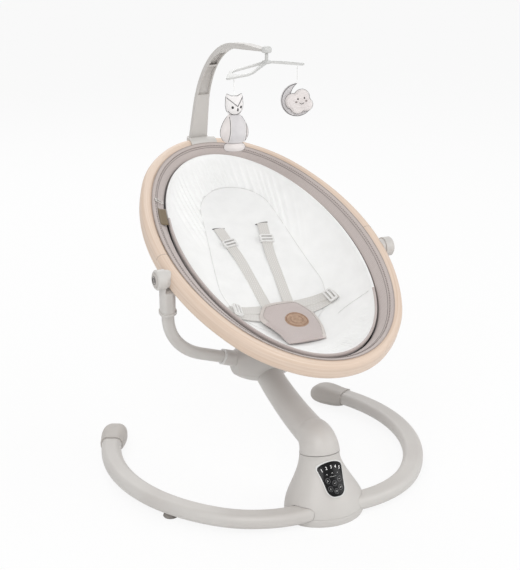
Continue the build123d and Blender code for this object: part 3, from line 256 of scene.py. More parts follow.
# Every finish of the swing, each in two close tones
looks = {
    "shell": mouldedPlastic("warmGreyAbs", "c6c2be", "ccc9c5", 0.42),
    "shoe": mouldedPlastic("shoeAbs", "b9b4af", "c0bbb6", 0.5),
    "rimWhite": mouldedPlastic("glossWhiteAbs", "dadad8", "e2e2e0", 0.3, coat=0.2),
    "hangerWhite": mouldedPlastic("satinWhiteAbs", "c4c4c2", "ccccca", 0.4),
    "panelBlack": mouldedPlastic(
        "pianoBlackAcrylic", "060607", "09090a", 0.16, depth=0.00002, gloss=0.18
    ),
    "panelMark": mouldedPlastic("printedWhiteInk", "f4f4f2", "fafaf8", 0.5),
    "keyRing": mouldedPlastic("printedGreyInk", "8d8d8f", "98989a", 0.5),
    "innerDark": mouldedPlastic("blackNylon", "1d1d20", "242428", 0.55),
    "board": mouldedPlastic("greenLaminate", "14402a", "1a4c33", 0.4),
    "copper": turnedMetal("enamelledCopper", "a4623a", "b87245"),
    "steel": turnedMetal("turnedSteel", "a6a6a6", "b8b8b8"),
    "rubber": mouldedPlastic("greyRubber", "85807c", "908b87", 0.8, depth=0.0003),
    "beech": bentBeech("steamBentBeech", "d4bca7", "e3d0c0"),
    "sling": wovenCloth("taupeTwill", "b7aca8", "c7bdb9", 0.0022),
    "slingEdge": wovenCloth("taupePiping", "a0948f", "b2a7a1", 0.002),
    # the umber look is the sling's seam thread, and also the painted shade in the gap between ledge
    # and liner
    "slingSeamAndGapShade": nappedCloth("umberThreadAndGapShade", "6f6561", "7b716d", 0.002),
    "liner": nappedCloth("whiteJersey", "f0f0ef", "f3f3f2"),
    "cushion": nappedCloth("whiteQuiltedJersey", "ebebea", "efefee", 0.003),
    # the grey thread of the cushion's seam, also the painted shade along the liner's fold
    "seam": nappedCloth("greyThreadAndFoldShade", "cfcecc", "d8d7d5", 0.002),
    "padThread": nappedCloth("taupeThread", "857a75", "938883", 0.002),
    "webbing": ribbedWebbing("greyWebbing", "ccc9c5", "dbd9d5"),
    "pad": wovenCloth("rosyTaupeTwill", "b6aaa7", "c6bcb9", 0.0022),
    "padEdge": nappedCloth("paleBinding", "c2bab5", "cec7c2", 0.002),
    "patch": tannedLeather("tanLeather", "9c7f69", "b2957e"),
    "patchMark": tannedLeather("burntLeather", "6e4a34", "7d5740"),
    "buckle": mouldedPlastic("paleAcetal", "dedddb", "e7e6e4", 0.35, coat=0.1),
    # painted shade: a dark grey for the shade inside the strap slits, also used for the ring's
    # joint line
    "slit": nappedCloth("shadowedSlit", "5e5d5b", "6a6967", 0.002),
    "tag": wovenCloth("khakiRibbon", "6d5e4a", "80715a", 0.0018),
    "zip": turnedMetal("nickelZip", "b9b6b2", "cbc8c4"),
    "zipTeeth": mouldedPlastic("taupeNylonTeeth", "7f7470", "8d827d", 0.4),
    "plushPale": nappedCloth("paleRosePlush", "d9d2d0", "e4dedc", 0.0022),
    "plushGrey": nappedCloth("greyPlush", "cbc8c9", "d8d5d6", 0.0022),
    "plushWhite": nappedCloth("whitePlush", "e2dfde", "ece9e8", 0.0022),
    "toySeam": nappedCloth("charcoalThread", "444142", "514e4f", 0.002),
    "toyDark": nappedCloth("blackEmbroidery", "1e1c1d", "2b292a", 0.0015),
    "toyBlush": nappedCloth("greyRoseEmbroidery", "978d8b", "a49a98", 0.0015),
    "toyString": nappedCloth("whiteCord", "eeeeec", "f6f6f4", 0.002),
}
# Look of each material slot of the CAD
slotLook = {
    "shell": "shell",
    "shoe": "shoe",
    "rim_white": "rimWhite",
    "panel_black": "panelBlack",
    "inner_dark": "innerDark",
    "board_green": "board",
    "copper": "copper",
    "steel": "steel",
    "rubber": "rubber",
    "beech": "beech",
    "sling_fabric": "sling",
    "liner_fabric": "liner",
    "webbing": "webbing",
    "pad_fabric": "pad",
    "buckle_plastic": "buckle",
    "toy_cream": "plushPale",
    "toy_grey": "plushGrey",
    "toy_white": "plushWhite",
}
for row in frame["record"]["subparts"]:
    thing = nodes[row["node"]]
    finish = looks[slotLook[row["material_slot"]]]
    if thing.material_slots:
        for slot in thing.material_slots:
            slot.material = finish
    else:
        thing.data.materials.append(finish)
for node in ("toy_hanger", "toy_bar_end"):
    nodes[node].material_slots[0].material = looks["hangerWhite"]
print("finishes on the CAD nodes")

# Camera of the photograph
camera = {
    "place": Vector((-1.0110, -1.8081, 1.1184)),
    "turn": math.radians(-26.0635),
    "drop": math.radians(18.5289),
    "focalPixels": 1300,
    "longSide": 570,
}
lens = bpy.data.cameras.new("photoCamera")
lens.sensor_width = 36
lens.lens = camera["focalPixels"] * lens.sensor_width / camera["longSide"]
view = bpy.data.objects.new("photoCamera", lens)
bpy.context.scene.collection.objects.link(view)
ahead = Vector((
    -math.sin(camera["turn"]) * math.cos(camera["drop"]),
    math.cos(camera["turn"]) * math.cos(camera["drop"]),
    -math.sin(camera["drop"]),
))
view.location = camera["place"]
view.rotation_euler = ahead.to_track_quat("-Z", "Y").to_euler()
bpy.context.scene.camera = view
bpy.context.scene.view_settings.view_transform = "Standard"


def deselectAll():
    if bpy.context.mode != "OBJECT":
        bpy.ops.object.mode_set(mode="OBJECT")
    bpy.ops.object.select_all(action="DESELECT")


def pick(piece):
    deselectAll()
    piece.select_set(True)
    bpy.context.view_layer.objects.active = piece


def settle(piece):
    pick(piece)
    bpy.ops.object.transform_apply(location=True, rotation=True, scale=True)


def dress(piece, look, slot, body, *stands):
    piece.data.materials.clear()
    piece.data.materials.append(looks[look])
    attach(piece, body)
    if stands:
        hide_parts(*stands)


# Turns at even steps once round, in radians
def evenTurns(count):
    return [2 * math.pi * j / count for j in range(count)]


# Mesh through rows of points, each row a closed loop, for sheets and padded pieces
def ringMesh(name, rings, wrap=False):
    mesh = bpy.data.meshes.new(name)
    shape = bmesh.new()
    rows = [[shape.verts.new(point) for point in ring] for ring in rings]
    count = len(rings[0])
    steps = len(rows) if wrap else len(rows) - 1
    uv = shape.loops.layers.uv.new("lay")
    for i in range(steps):
        after = rows[(i + 1) % len(rows)]
        for j in range(count):
            k = (j + 1) % count
            face = shape.faces.new((rows[i][j], rows[i][k], after[k], after[j]))
            corners = ((i, j), (i, j + 1), (i + 1, j + 1), (i + 1, j))
            for loop, (a, b) in zip(face.loops, corners):
                loop[uv].uv = (b / count, a / steps)
    if not wrap:
        shape.faces.new(rows[0][::-1])
        shape.faces.new(rows[-1])
    for face in shape.faces:
        face.smooth = True
    bmesh.ops.recalc_face_normals(shape, faces=shape.faces)
    shape.to_mesh(mesh)
    shape.free()
    piece = bpy.data.objects.new(name, mesh)
    bpy.context.scene.collection.objects.link(piece)
    return piece


# Round thread along points, closed into a loop if asked
def threadMesh(name, points, radius, wrap=False, sides=6):
    count = len(points)
    side = None
    rows = []
    for i, point in enumerate(points):
        ahead = points[(i + 1) % count] if wrap or i < count - 1 else point
        back = points[i - 1] if wrap or i > 0 else point
        run = (ahead - back).normalized()
        if side is None:
            side = run.orthogonal()
        side = (side - run * side.dot(run)).normalized()
        up = run.cross(side)
        rows.append([
            point + (side * math.cos(turn) + up * math.sin(turn)) * radius
            for turn in evenTurns(sides)
        ])
    return ringMesh(name, rows, wrap)


def joinAll(name, pieces):
    deselectAll()
    for piece in pieces:
        piece.select_set(True)
    bpy.context.view_layer.objects.active = pieces[0]
    bpy.ops.object.join()
    pieces[0].name = name
    pieces[0].data.name = name
    return pieces[0]


# A point of the seat: across, towards the head and along the ring's normal, in millimetres
def seatPoint(u, w, h):
    cosTilt = math.cos(seat["tilt"])
    sinTilt = math.sin(seat["tilt"])
    return seat["centre"] + Vector((u, w * cosTilt - h * sinTilt, w * sinTilt + h * cosTilt)) / 1000


# Smooth value between rows of a level table
def levelAt(table, share):
    place = share * (len(table) - 1)
    i = min(int(place), len(table) - 2)
    t = place - i
    rows = [table[max(0, min(len(table) - 1, i + k))] for k in (-1, 0, 1, 2)]
    out = []
    for a, b, c, d in zip(*rows):
        bend = 2 * a - 5 * b + 4 * c - d + t * (3 * (b - c) + d - a)
        out.append(b + 0.5 * t * (c - a + t * bend))
    return out


# The seat's inner surface, by level, half width, half length and shift, as in the CAD
seatSurface = (
    (0, 163, 290, -4), (-20, 150, 236, -30), (-40, 128, 174, -58),
    (-60, 98, 100, -100), (-75, 56, 50, -115), (-82, 20, 16, -115),
)


def ovalRing(level, halfX, halfLength, shift, count, lift=None):
    ring = []
    for turn in evenTurns(count):
        u = halfX * math.sin(turn)
        w = shift + halfLength * math.cos(turn)
        h = level if lift is None else level + lift(u, w, turn)
        ring.append(seatPoint(u, w, h))
    return ring


# A point's place across and along the seat, in millimetres
def seatPlace(point):
    along = (seatPoint(0, 1000, 0) - seat["centre"]).normalized()
    offset = (point - seat["centre"]) * 1000
    return offset.x, offset.dot(along)


# Level of the seat's inner surface at a place, found by halving
def seatLevel(u, w):
    low, high = 1.0, 0.0
    for _ in range(26):
        middle = (low + high) / 2
        level, halfX, halfLength, shift = levelAt(seatSurface, middle)
        if math.hypot(u / halfX, (w - shift) / halfLength) > 1:
            low = middle
        else:
            high = middle
    return levelAt(seatSurface, high)[0]


# From 0 to 1 between two values, eased at both ends
def easeStep(low, high, value):
    t = max(0.0, min(1.0, (value - low) / (high - low)))
    return t * t * (3 - 2 * t)


# Inner cushion: an egg of two circles, each by its place along the seat and its radius
cushion = {
    "head": (139, 75), "seat": (-45, 103), "lean": 7.0, "middle": 40.0, "longest": 400.0,
    "around": 160, "rowsTop": 26, "rowsUnder": 13, "inset": 0.985,
    "crown": 1.2, "edgeDrop": 3.2, "edgePower": 10, "under": -5.0,
    "seamLevel": -1.9, "thread": 0.0004,
}


# Distance outside the cushion's outline
def cushionEdge(u, w):
    headAt, headRadius = cushion["head"]
    seatAt, seatRadius = cushion["seat"]
    span = headAt - seatAt
    x, y = abs(u - cushion["lean"] * easeStep(seatAt, headAt, w)), w - seatAt
    b = (seatRadius - headRadius) / span
    a = math.sqrt(1 - b * b)
    k = -b * x + a * y
    if k < 0:
        return math.hypot(x, y) - seatRadius
    if k > a * span:
        return math.hypot(x, y - span) - headRadius
    return a * x + b * y - seatRadius


# Strings: each runs from the hanger's tip to its toy
toyString = {"length": 0.032, "radius": 0.0006}
for toy in ("owl", "cloud"):
    low, high = (Vector(corner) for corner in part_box(toy + "_string"))
    middle = (low + high) / 2
    curve = bpy.data.curves.new(toy + "Cord", "CURVE")
    curve.dimensions = "3D"
    curve.bevel_depth = toyString["radius"]
    curve.bevel_resolution = 3
    line = curve.splines.new("NURBS")
    line.points.add(2)
    for point, z in zip(line.points, (high.z, middle.z, low.z)):
        point.co = (middle.x, middle.y, z, 1)
    line.order_u = 3
    line.use_endpoint_u = True
    cord = bpy.data.objects.new(toy + "Cord", curve)
    bpy.context.scene.collection.objects.link(cord)
    dress(cord, "toyString", "toy_white", toy, toy + "_string")
print("strings hung")

# Outer sling: a taupe bowl in the ring, with a padded ledge round the liner, in the same rows
sling = {
    "out": (
        (6, 193.2, 311.2, 0), (-20, 187, 304, -4), (-50, 164, 262, -26),
        (-80, 122, 186, -65), (-100, 72, 114, -100), (-107, 30, 40, -110),
    ),
    "ledgeBack": ((10.5, 193.6, 311.6, 0), (13, 195.2, 315.6, -3), (14.9, 197.2, 317.6, -5)),
    "ledge": (
        (16.2, 197.4, 318, -5.5), (16.8, 195.6, 316.2, -5.5), (15.6, 192, 312.6, -5.5),
        (12.2, 187, 308, -5), (7.4, 181.4, 303.6, -4.5), (3.8, 176, 299.8, -4),
        (0.6, 171.6, 296.9, -4), (-6, 169.4, 295.6, -4),
    ),
    "onRing": 4,  # rows of the ledge that may lap the ring
    "in": (
        (-30, 166, 286, -8), (-50, 158, 256, -26), (-80, 116, 180, -65),
        (-98, 64, 106, -100), (-103, 24, 32, -110),
    ),
    "around": 240, "rowsOut": 24, "rowsIn": 16, "cordSteps": 300,
}
# The ring's inner edge: its oval, its rounding and where that starts, and the gaps to the ledge
ringInside = {
    "halfX": 194.0, "halfLength": 312.0, "round": 10.5, "level": 6.5, "under": 0.3, "over": 1.3,
}


# Level of the ring's rounded inner edge, to lay the ledge on
def ringLevel(u, w):
    a, b = ringInside["halfX"], ringInside["halfLength"]
    out = math.hypot(u / a, w / b)
    past = (out - 1) * out / math.hypot(u / a ** 2, w / b ** 2)
    left = ringInside["round"] - max(0.0, min(ringInside["round"], past))
    return ringInside["level"] + math.sqrt(ringInside["round"] ** 2 - left ** 2)


def ledgeRing(row, clear, count):
    return ovalRing(
        *row, count, lambda u, w, turn: max(0.0, ringLevel(u, w) + clear - row[0])
    )


def makeSling():
    count, rowsOut, rowsIn = sling["around"], sling["rowsOut"], sling["rowsIn"]
    ledge, onRing = sling["ledge"], sling["onRing"]
    rings = [
        ovalRing(*levelAt(sling["out"], 1 - i / (rowsOut - 1)), count) for i in range(rowsOut)
    ]
    rings += [ledgeRing(row, ringInside["under"], count) for row in sling["ledgeBack"]]
    rings += [ledgeRing(row, ringInside["over"], count) for row in ledge[:onRing]]
    rings += [ovalRing(*row, count) for row in ledge[onRing:]]
    firstInside = len(rings) - 2  # painted shade: the dark umber look from the ledge's inner edge down, for the shade of the gap round the liner
    rings += [ovalRing(*levelAt(sling["in"], i / (rowsIn - 1)), count) for i in range(rowsIn)]
    bowl = ringMesh("slingBowl", rings)
    dress(bowl, "sling", "sling_fabric", "seat", "seat_sling")
    bowl.data.materials.append(looks["slingSeamAndGapShade"])
    for face in bowl.data.polygons:
        if face.index >= firstInside * count:
            face.material_index = 1


# The joint between the ring's two halves, a fine dark line over the band at each side
ringJoint = {"middle": 206.0, "flat": 1.5, "inside": 130, "wide": 0.00025}


def makeRingJoints():
    lines = []
    for sign in (-1, 1):
        path = []
        for turn in range(ringJoint["inside"], -1, -5):
            flat = math.copysign(ringJoint["flat"], 90 - turn)
            out = flat + ringInside["round"] * math.cos(math.radians(turn))
            level = ringInside["level"] + ringInside["round"] * math.sin(math.radians(turn))
            path.append(seatPoint(sign * (ringJoint["middle"] + out), 0, level))
        lines.append(threadMesh("joint", path, ringJoint["wide"]))
    dress(joinAll("ringJoints", lines), "slit", "beech", "seat")


# A point on the ledge: round the seat, then from the ring in to the liner
def ledgePoint(turn, across, lift):
    level, halfX, halfLength, shift = levelAt(sling["ledge"], across)
    u, w = halfX * math.sin(turn), shift + halfLength * math.cos(turn)
    return seatPoint(u, w, max(level, ringLevel(u, w) + ringInside["over"]) + lift)


# Cord rings sewn along the ledge
def ledgeCord(name, across, radius, lift, look):
    path = [ledgePoint(turn, across, lift) for turn in evenTurns(sling["cordSteps"])]
    dress(threadMesh(name, path, radius / 1000, wrap=True), look, "sling_fabric", "seat")


# Zip along the ledge: one tooth, then a copy at each pitch round the oval
zipTeeth = {
    "across": 0.36, "lift": 0.5, "pitch": 4.2,
    "size": (1.7, 2.4, 1.4), "topShare": (0.8, 0.7, 1), "bevel": 0.22,
}


# A frame of axes at a point, for pieces that are modelled at the origin
def axesAt(place, across, along):
    up = across.cross(along).normalized()
    turned = Matrix((across, along, up)).transposed().to_4x4()
    return Matrix.Translation(place) @ turned


# Opens a mesh for editing with the faces selected that pass a test
def selectFaces(piece, test):
    bpy.ops.object.mode_set(mode="EDIT")
    bpy.ops.mesh.select_all(action="DESELECT")
    bpy.ops.mesh.select_mode(type="FACE")
    shape = bmesh.from_edit_mesh(piece.data)
    for face in shape.faces:
        face.select_set(test(face))
    bmesh.update_edit_mesh(piece.data)


def bevelAll(width, segments):
    bpy.ops.mesh.select_all(action="SELECT")
    bpy.ops.mesh.bevel(offset=width / 1000, segments=segments)
    bpy.ops.object.mode_set(mode="OBJECT")


def addBlock(name, size):
    deselectAll()
    bpy.ops.mesh.primitive_cube_add(size=1, scale=[side / 1000 for side in size])
    block = bpy.context.object
    block.name = name
    settle(block)
    return block


def makeZip():
    tooth = addBlock("zipTooth", zipTeeth["size"])
    selectFaces(tooth, lambda face: face.normal.z > 0.9)
    bpy.ops.transform.resize(value=zipTeeth["topShare"])
    bevelAll(zipTeeth["bevel"], 1)
    _, halfX, halfLength, _ = levelAt(sling["ledge"], zipTeeth["across"])
    count = int(math.pi * (halfX + halfLength) / zipTeeth["pitch"])
    out = seatPoint(0, 0, 1000) - seatPoint(0, 0, 0)
    spots = [
        ledgePoint(turn, zipTeeth["across"], zipTeeth["lift"]) for turn in evenTurns(count)
    ]
    teeth = []
    for place, after in zip(spots, spots[1:] + spots[:1]):
        along = (after - place).normalized()
        up = (out - along * out.dot(along)).normalized()
        copy = tooth.copy()
        copy.data = tooth.data.copy()
        copy.matrix_world = axesAt(place, along, up.cross(along))
        bpy.context.scene.collection.objects.link(copy)
        teeth.append(copy)
    bpy.data.objects.remove(tooth)
    row = joinAll("zipTeeth", teeth)
    settle(row)
    dress(row, "zipTeeth", "sling_fabric", "seat")


# Zip slider with its pull, a long flattened ring
zipPull = {
    "turn": math.radians(-59), "across": 0.36, "lift": 1.6,
    "half": 3.2, "wire": 0.9, "stretch": 9.0,
    "slider": (9.0, 5.6, 3.4), "nose": (1, 0.6, 0.8), "bevel": 0.7, "bridge": 1.0,
    "ahead": 0.02, "hang": (0.3, 0.6),  # the turn it faces, the share and lift it hangs towards
}


def makeZipPull():
    turn, across, lift = zipPull["turn"], zipPull["across"], zipPull["lift"]
    share, rise = zipPull["hang"]
    start = ledgePoint(turn, across, lift)
    along = (ledgePoint(turn - zipPull["ahead"], across, lift) - start).normalized()
    down = (ledgePoint(turn, across + share, lift + rise) - start).normalized()
    place = axesAt(start, along, (down - along * down.dot(along)).normalized())
    slider = addBlock("zipSlider", zipPull["slider"])
    selectFaces(slider, lambda face: face.normal.x > 0.9)
    bpy.ops.transform.resize(value=zipPull["nose"])
    selectFaces(slider, lambda face: face.normal.z > 0.9)
    bpy.ops.mesh.inset(thickness=zipPull["bridge"] / 1000)
    bpy.ops.mesh.extrude_region_move(
        TRANSFORM_OT_translate={"value": (0, 0, zipPull["bridge"] / 1000)}
    )
    bevelAll(zipPull["bevel"], 2)
    deselectAll()
    bpy.ops.mesh.primitive_torus_add(
        major_radius=zipPull["half"] / 1000,
        minor_radius=zipPull["wire"] / 1000,
        major_segments=32,
        minor_segments=10,
        location=(0, zipPull["half"] / 1000, zipPull["wire"] / 1000),
    )
    ring = bpy.context.object
    settle(ring)
    selectFaces(ring, lambda face: face.calc_center_median().y > zipPull["half"] / 1000)
    bpy.ops.transform.translate(value=(0, zipPull["stretch"] / 1000, 0))
    bpy.ops.object.mode_set(mode="OBJECT")
    pull = joinAll("zipPull", [slider, ring])
    pull.matrix_world = place
    settle(pull)
    pick(pull)
    bpy.ops.object.shade_smooth_by_angle(angle=math.radians(40))
    dress(pull, "zip", "sling_fabric", "seat")


# Woven ribbon tag sewn over the ledge, its face left bare
tagShape = {
    "turns": (-62.5, -72.0), "across": (0.46, 0.98), "lift": 0.5, "thick": 0.8, "steps": (12, 8),
}


def makeTag():
    rows = []
    first, last = tagShape["turns"]
    low, high = tagShape["across"]
    long, wide = tagShape["steps"]
    spots = [low + (high - low) * k / wide for k in range(wide + 1)]
    for i in range(long + 1):
        turn = math.radians(first + (last - first) * i / long)
        top = [ledgePoint(turn, spot, tagShape["lift"] + tagShape["thick"]) for spot in spots]
        rows.append(top + [ledgePoint(turn, spot, tagShape["lift"]) for spot in spots[::-1]])
    tag = ringMesh("ribbonTag", rows)
    dress(tag, "tag", "sling_fabric", "seat")


# Padded liner: a white inside with gathers at head and foot, a rolled rim and a taupe outside
liner = {
    "edge": (
        (3.4, 162.4, 288.9, -4), (5.0, 163.2, 289.7, -4), (5.9, 164.6, 291.1, -4),
        (5.4, 166.2, 292.7, -4), (3.6, 167.2, 293.7, -4), (1.2, 167.4, 293.9, -4),
    ),
    "out": (
        (-5, 166.4, 292.6, -4), (-14, 163.5, 287, -5), (-30, 157, 270, -14), (-50, 142, 243, -30),
        (-80, 99, 165, -75), (-95, 58, 92, -100), (-99, 22, 28, -110),
    ),
    "around": 480, "rows": 40, "rowsOut": 15,
    "rimRise": 4.2, "rimShare": 0.14, "sunk": 2.0,
    "underCushion": 7.0, "underFrom": (2, 9),  # how far it sinks there, and over which width
    "uneven": ((0.5, 5), (0.4, 11)),  # waves that keep the gathers from being even
    "gathers": 88, "gatherHeight": 1.8, "gatherShare": 0.42, "gatherEnds": (0.45, 0.85),
    "atFoot": 1.7,  # how much stronger the gathers are there
    "boundFrom": -25, "boundSlope": -0.9,  # the taupe binding shows below this slanting line
    # the path of the painted crease shade along the liner's fold
    "fold": ((140.0, -148.2), (130.0, -140.3), (117.5, -137.2), (105.5, -135.7), (92.3, -137.9)),
    "foldDrop": 1.2, "thread": 0.0004,
}


def makeLiner():
    random.seed(5)
    count, steps, rowsOut = liner["around"], liner["rows"], liner["rowsOut"]
    waves = [random.uniform(0.55, 1.0) for _ in range(liner["gathers"] + 1)]

    def gather(turn, share):
        if share >= liner["gatherShare"]:
            return 0.0
        ends = easeStep(*liner["gatherEnds"], abs(math.cos(turn)))
        band = math.sin(math.pi * share / liner["gatherShare"])
        uneven = sum(size * math.sin(times * turn) for size, times in liner["uneven"])
        phase = turn / (2 * math.pi) * liner["gathers"] + uneven
        height = liner["gatherHeight"] * waves[int(phase) % len(waves)]
        if math.cos(turn) <= 0:
            height *= liner["atFoot"]
        return height * ends * band * math.cos(2 * math.pi * phase)

    rings = []
    for i in range(steps):
        share = 1 - i / steps

        def lift(u, w, turn):
            under = easeStep(*liner["underFrom"], -cushionEdge(u, w))
            rim = liner["rimRise"] * easeStep(liner["rimShare"], 0.0, share)
            puffed = (1 - under) * gather(turn, share)
            return rim - liner["sunk"] - liner["underCushion"] * under + puffed

        rings.append(ovalRing(*levelAt(seatSurface, share), count, lift))
    firstRim = len(rings) * count
    rings += [ovalRing(*row, count) for row in liner["edge"]]
    firstOut = len(rings) * count
    rings += [ovalRing(*levelAt(liner["out"], i / (rowsOut - 1)), count) for i in range(rowsOut)]
    quilt = ringMesh("linerPad", rings)
    dress(quilt, "liner", "liner_fabric", "seat", "seat_liner")
    quilt.data.materials.append(looks["sling"])
    for face in quilt.data.polygons:
        u, w = seatPlace(face.center)
        bound = w < liner["boundFrom"] + liner["boundSlope"] * u or face.index >= firstOut
        if bound and firstRim <= face.index < (len(rings) - 1) * count:
            face.material_index = 1
    # painted shade: a fine grey line along the liner's fold, for the shade of its crease
    fold = [seatPoint(u, w, seatLevel(u, w) - liner["foldDrop"]) for u, w in liner["fold"]]
    dress(threadMesh("linerFold", fold, liner["thread"]), "seam", "liner_fabric", "seat")


# The cushion's panel, with a crown and a sewn edge
def makeCushion():
    outline = []
    for turn in evenTurns(cushion["around"]):
        near, far = 0.0, cushion["longest"]
        for _ in range(24):
            reach = (near + far) / 2
            if cushionEdge(reach * math.sin(turn), cushion["middle"] + reach * math.cos(turn)) < 0:
                near = reach
            else:
                far = reach
        outline.append((near * math.sin(turn), near * math.cos(turn)))

    def ringAt(share, height):
        places = [(u * share, cushion["middle"] + w * share) for u, w in outline]
        return [seatPoint(x, y, seatLevel(x, y) + height) for x, y in places]

    inset, drop = cushion["inset"], cushion["edgeDrop"]
    shares = [i / cushion["rowsTop"] for i in range(1, cushion["rowsTop"] + 1)]
    falls = [drop * share ** cushion["edgePower"] for share in shares]
    rings = [ringAt(s * inset, cushion["crown"] - fall) for s, fall in zip(shares, falls)]
    rings.append(ringAt(1.0, -drop))
    under = cushion["rowsUnder"]
    rings += [ringAt(inset * (1 - i / under), cushion["under"]) for i in range(1, under)]
    egg = ringMesh("cushionPanel", rings)
    dress(egg, "cushion", "liner_fabric", "seat", "inner_cushion")
    seam = ringAt(inset, cushion["seamLevel"])
    thread = threadMesh("cushionSeam", seam, cushion["thread"], wrap=True)
    dress(thread, "seam", "liner_fabric", "seat")


# Webbing: a flat band through the strap's CAD points, with its own UV map
webbing = {
    "shoulder": ((45, 112), (45, 107), (38.5, 70.5), (32, 34), (27.5, -18), (23, -70), (22, -84)),
    "waist": ((108, -94.5), (106, -95), (95, -97), (64, -103), (38, -104), (30, -104.5)),
    "waistBack": ((103, -88), (100, -88.5), (86, -88), (66, -87), (46, -85), (34, -84)),
    "halfWidth": 10.0, "thick": 1.8, "lift": 2.2, "backDrop": -0.8, "steps": 36,
    "tuckShoulder": 5.0, "tuckWaist": 3.0,  # how far the far end goes into the seat
    "girth": 0.044,  # round the band, in metres
    "section": (
        (-1, 0.15), (-0.96, 0), (-0.5, 0), (0, 0), (0.5, 0), (0.96, 0), (1, 0.15),
        (1, 0.85), (0.96, 1), (0.5, 0.92), (0, 1), (-0.5, 0.92), (-0.96, 1), (-1, 0.85),
    ),
}


def makeStrap(name, points, rise, *stands):
    firm = [Vector((x, w, seatLevel(x, w) + webbing["lift"] + rise)) for x, w in points]
    firm[2].z = (firm[1].z + firm[3].z) / 2
    if len(points) == len(webbing["shoulder"]):  # drawn straight over the seat's hollow
        firm[4].z = (firm[3].z + firm[5].z) / 2
        firm[6].z = firm[5].z
        firm[0].z -= webbing["tuckShoulder"]
    else:
        firm[0].z -= webbing["tuckWaist"]
    steps = webbing["steps"]
    path = [Vector(levelAt(firm, i / steps)) for i in range(steps + 1)]
    rows = []
    for i, place in enumerate(path):
        run = (path[min(steps, i + 1)] - path[max(0, i - 1)]).normalized()
        side = run.cross(Vector((0, 0, 1))).normalized()
        up = side.cross(run)
        spots = [
            place + side * (across * webbing["halfWidth"]) + up * (height * webbing["thick"])
            for across, height in webbing["section"]
        ]
        rows.append([seatPoint(*spot) for spot in spots])
    strap = ringMesh(name, rows)
    long = sum((b - a).length for a, b in zip(path, path[1:])) / 1000
    for loop in strap.data.uv_layers["lay"].data:
        loop.uv = (loop.uv[0] * webbing["girth"], loop.uv[1] * long)
    dress(strap, "webbing", "webbing", "seat", *stands)


# A stitched slit that a shoulder strap comes out of, its lip dark with painted shade of the opening
slit = {
    "at": (45, 111), "half": (12.5, 1.6), "lip": 0.8, "level": 1.5, "rise": 0.7, "steps": (6, 24),
}


def makeSlit(side, sign):
    rings = []
    for turn in evenTurns(slit["steps"][0]):
        lip = slit["lip"] * math.cos(turn)
        rise = slit["level"] + slit["rise"] * math.sin(turn)
        ring = []
        for around in evenTurns(slit["steps"][1]):
            x = sign * slit["at"][0] + (slit["half"][0] + lip) * math.cos(around)
            w = slit["at"][1] + (slit["half"][1] + lip) * math.sin(around)
            ring.append(seatPoint(x, w, seatLevel(x, w) + rise))
        rings.append(ring)
    dress(ringMesh("strapSlit" + side, rings, wrap=True), "slit", "liner_fabric", "seat")


# Cloth swells a closed form under pressure, moved no further than the cap
stuffing = {"pressure": 3.0, "rounds": 20, "quality": 4, "relax": 0.5, "relaxRounds": 4}


def puff(piece, voxel, cap):
    pick(piece)
    piece.data.remesh_voxel_size = voxel
    bpy.ops.object.voxel_remesh()
    before = [vertex.co.copy() for vertex in piece.data.vertices]
    cloth = piece.modifiers.new("swell", "CLOTH")
    cloth.settings.use_pressure = True
    cloth.settings.uniform_pressure_force = stuffing["pressure"]
    cloth.settings.effector_weights.gravity = 0
    cloth.settings.quality = stuffing["quality"]
    cloth.point_cache.frame_start = 1
    cloth.point_cache.frame_end = stuffing["rounds"]
    for step in range(1, stuffing["rounds"] + 1):
        bpy.context.scene.frame_set(step)
    bpy.ops.object.modifier_apply(modifier=cloth.name)
    for vertex, start in zip(piece.data.vertices, before):
        move = vertex.co - start
        if move.length > cap:
            vertex.co = start + move * (cap / move.length)
    bpy.context.scene.frame_set(1)
    relax = piece.modifiers.new("relax", "SMOOTH")
    relax.factor = stuffing["relax"]
    relax.iterations = stuffing["relaxRounds"]
    finer = piece.modifiers.new("finer", "SUBSURF")
    finer.levels = finer.render_levels = 1
    for modifier in list(piece.modifiers):
        bpy.ops.object.modifier_apply(modifier=modifier.name)
    bpy.ops.object.shade_smooth()


def mergeDoubles(gap, outwards=False):
    bpy.ops.object.mode_set(mode="EDIT")
    bpy.ops.mesh.select_all(action="SELECT")
    bpy.ops.mesh.remove_doubles(threshold=gap)
    if outwards:
        bpy.ops.mesh.normals_make_consistent(inside=False)
    bpy.ops.object.mode_set(mode="OBJECT")


def copyNode(node, name):
    copy = nodes[node].copy()
    copy.data = nodes[node].data.copy()
    copy.name = name
    copy.data.name = name
    copy.parent = None
    bpy.context.scene.collection.objects.link(copy)
    pick(copy)
    mergeDoubles(0.00002)
    return copy


# Crotch pad over the buckle, with a pale border, a stitch line and a leather patch;
# its outline is the place along the seat, then how far it reaches left and right
padShape = {
    "outline": (
        (-79, 24, 18), (-82, 32, 28.5), (-86, 36.7, 36), (-93, 42.5, 44.6), (-103, 49.5, 51.2),
        (-114, 52.6, 55.8), (-126, 48.7, 57.6), (-142, 41.4, 57), (-160, 36.8, 53.8),
        (-178, 34.3, 47.8), (-195.5, 36, 40),
    ),
    "lift": 11.5, "lowLift": 6.5, "lowFrom": -150, "lowTo": -195,
    "half": 4.5, "endThin": 0.35, "endShare": 0.85, "sideRound": 0.55, "topRound": 0.8,
    "around": 48, "rows": 36, "voxel": 0.0022, "swell": 0.002,
    "border": 8.5, "borderEnd": -125, "stitchEnd": -190,
    "stitch": 3.0, "pitch": 4.4, "thread": 0.0004,
    "shortest": 0.0015, "longest": 0.006, "rayFrom": 40,
    "patch": (10, -135, 21.5), "patchAround": 64,
    "patchEdge": ((1.0, -0.6), (1.01, 0.4), (0.99, 1.0), (0.95, 1.2), (0.05, 1.2)),
    "patchRings": ((0.88, 0.0005), (0.52, 0.0004)), "patchTop": 1.2,
}


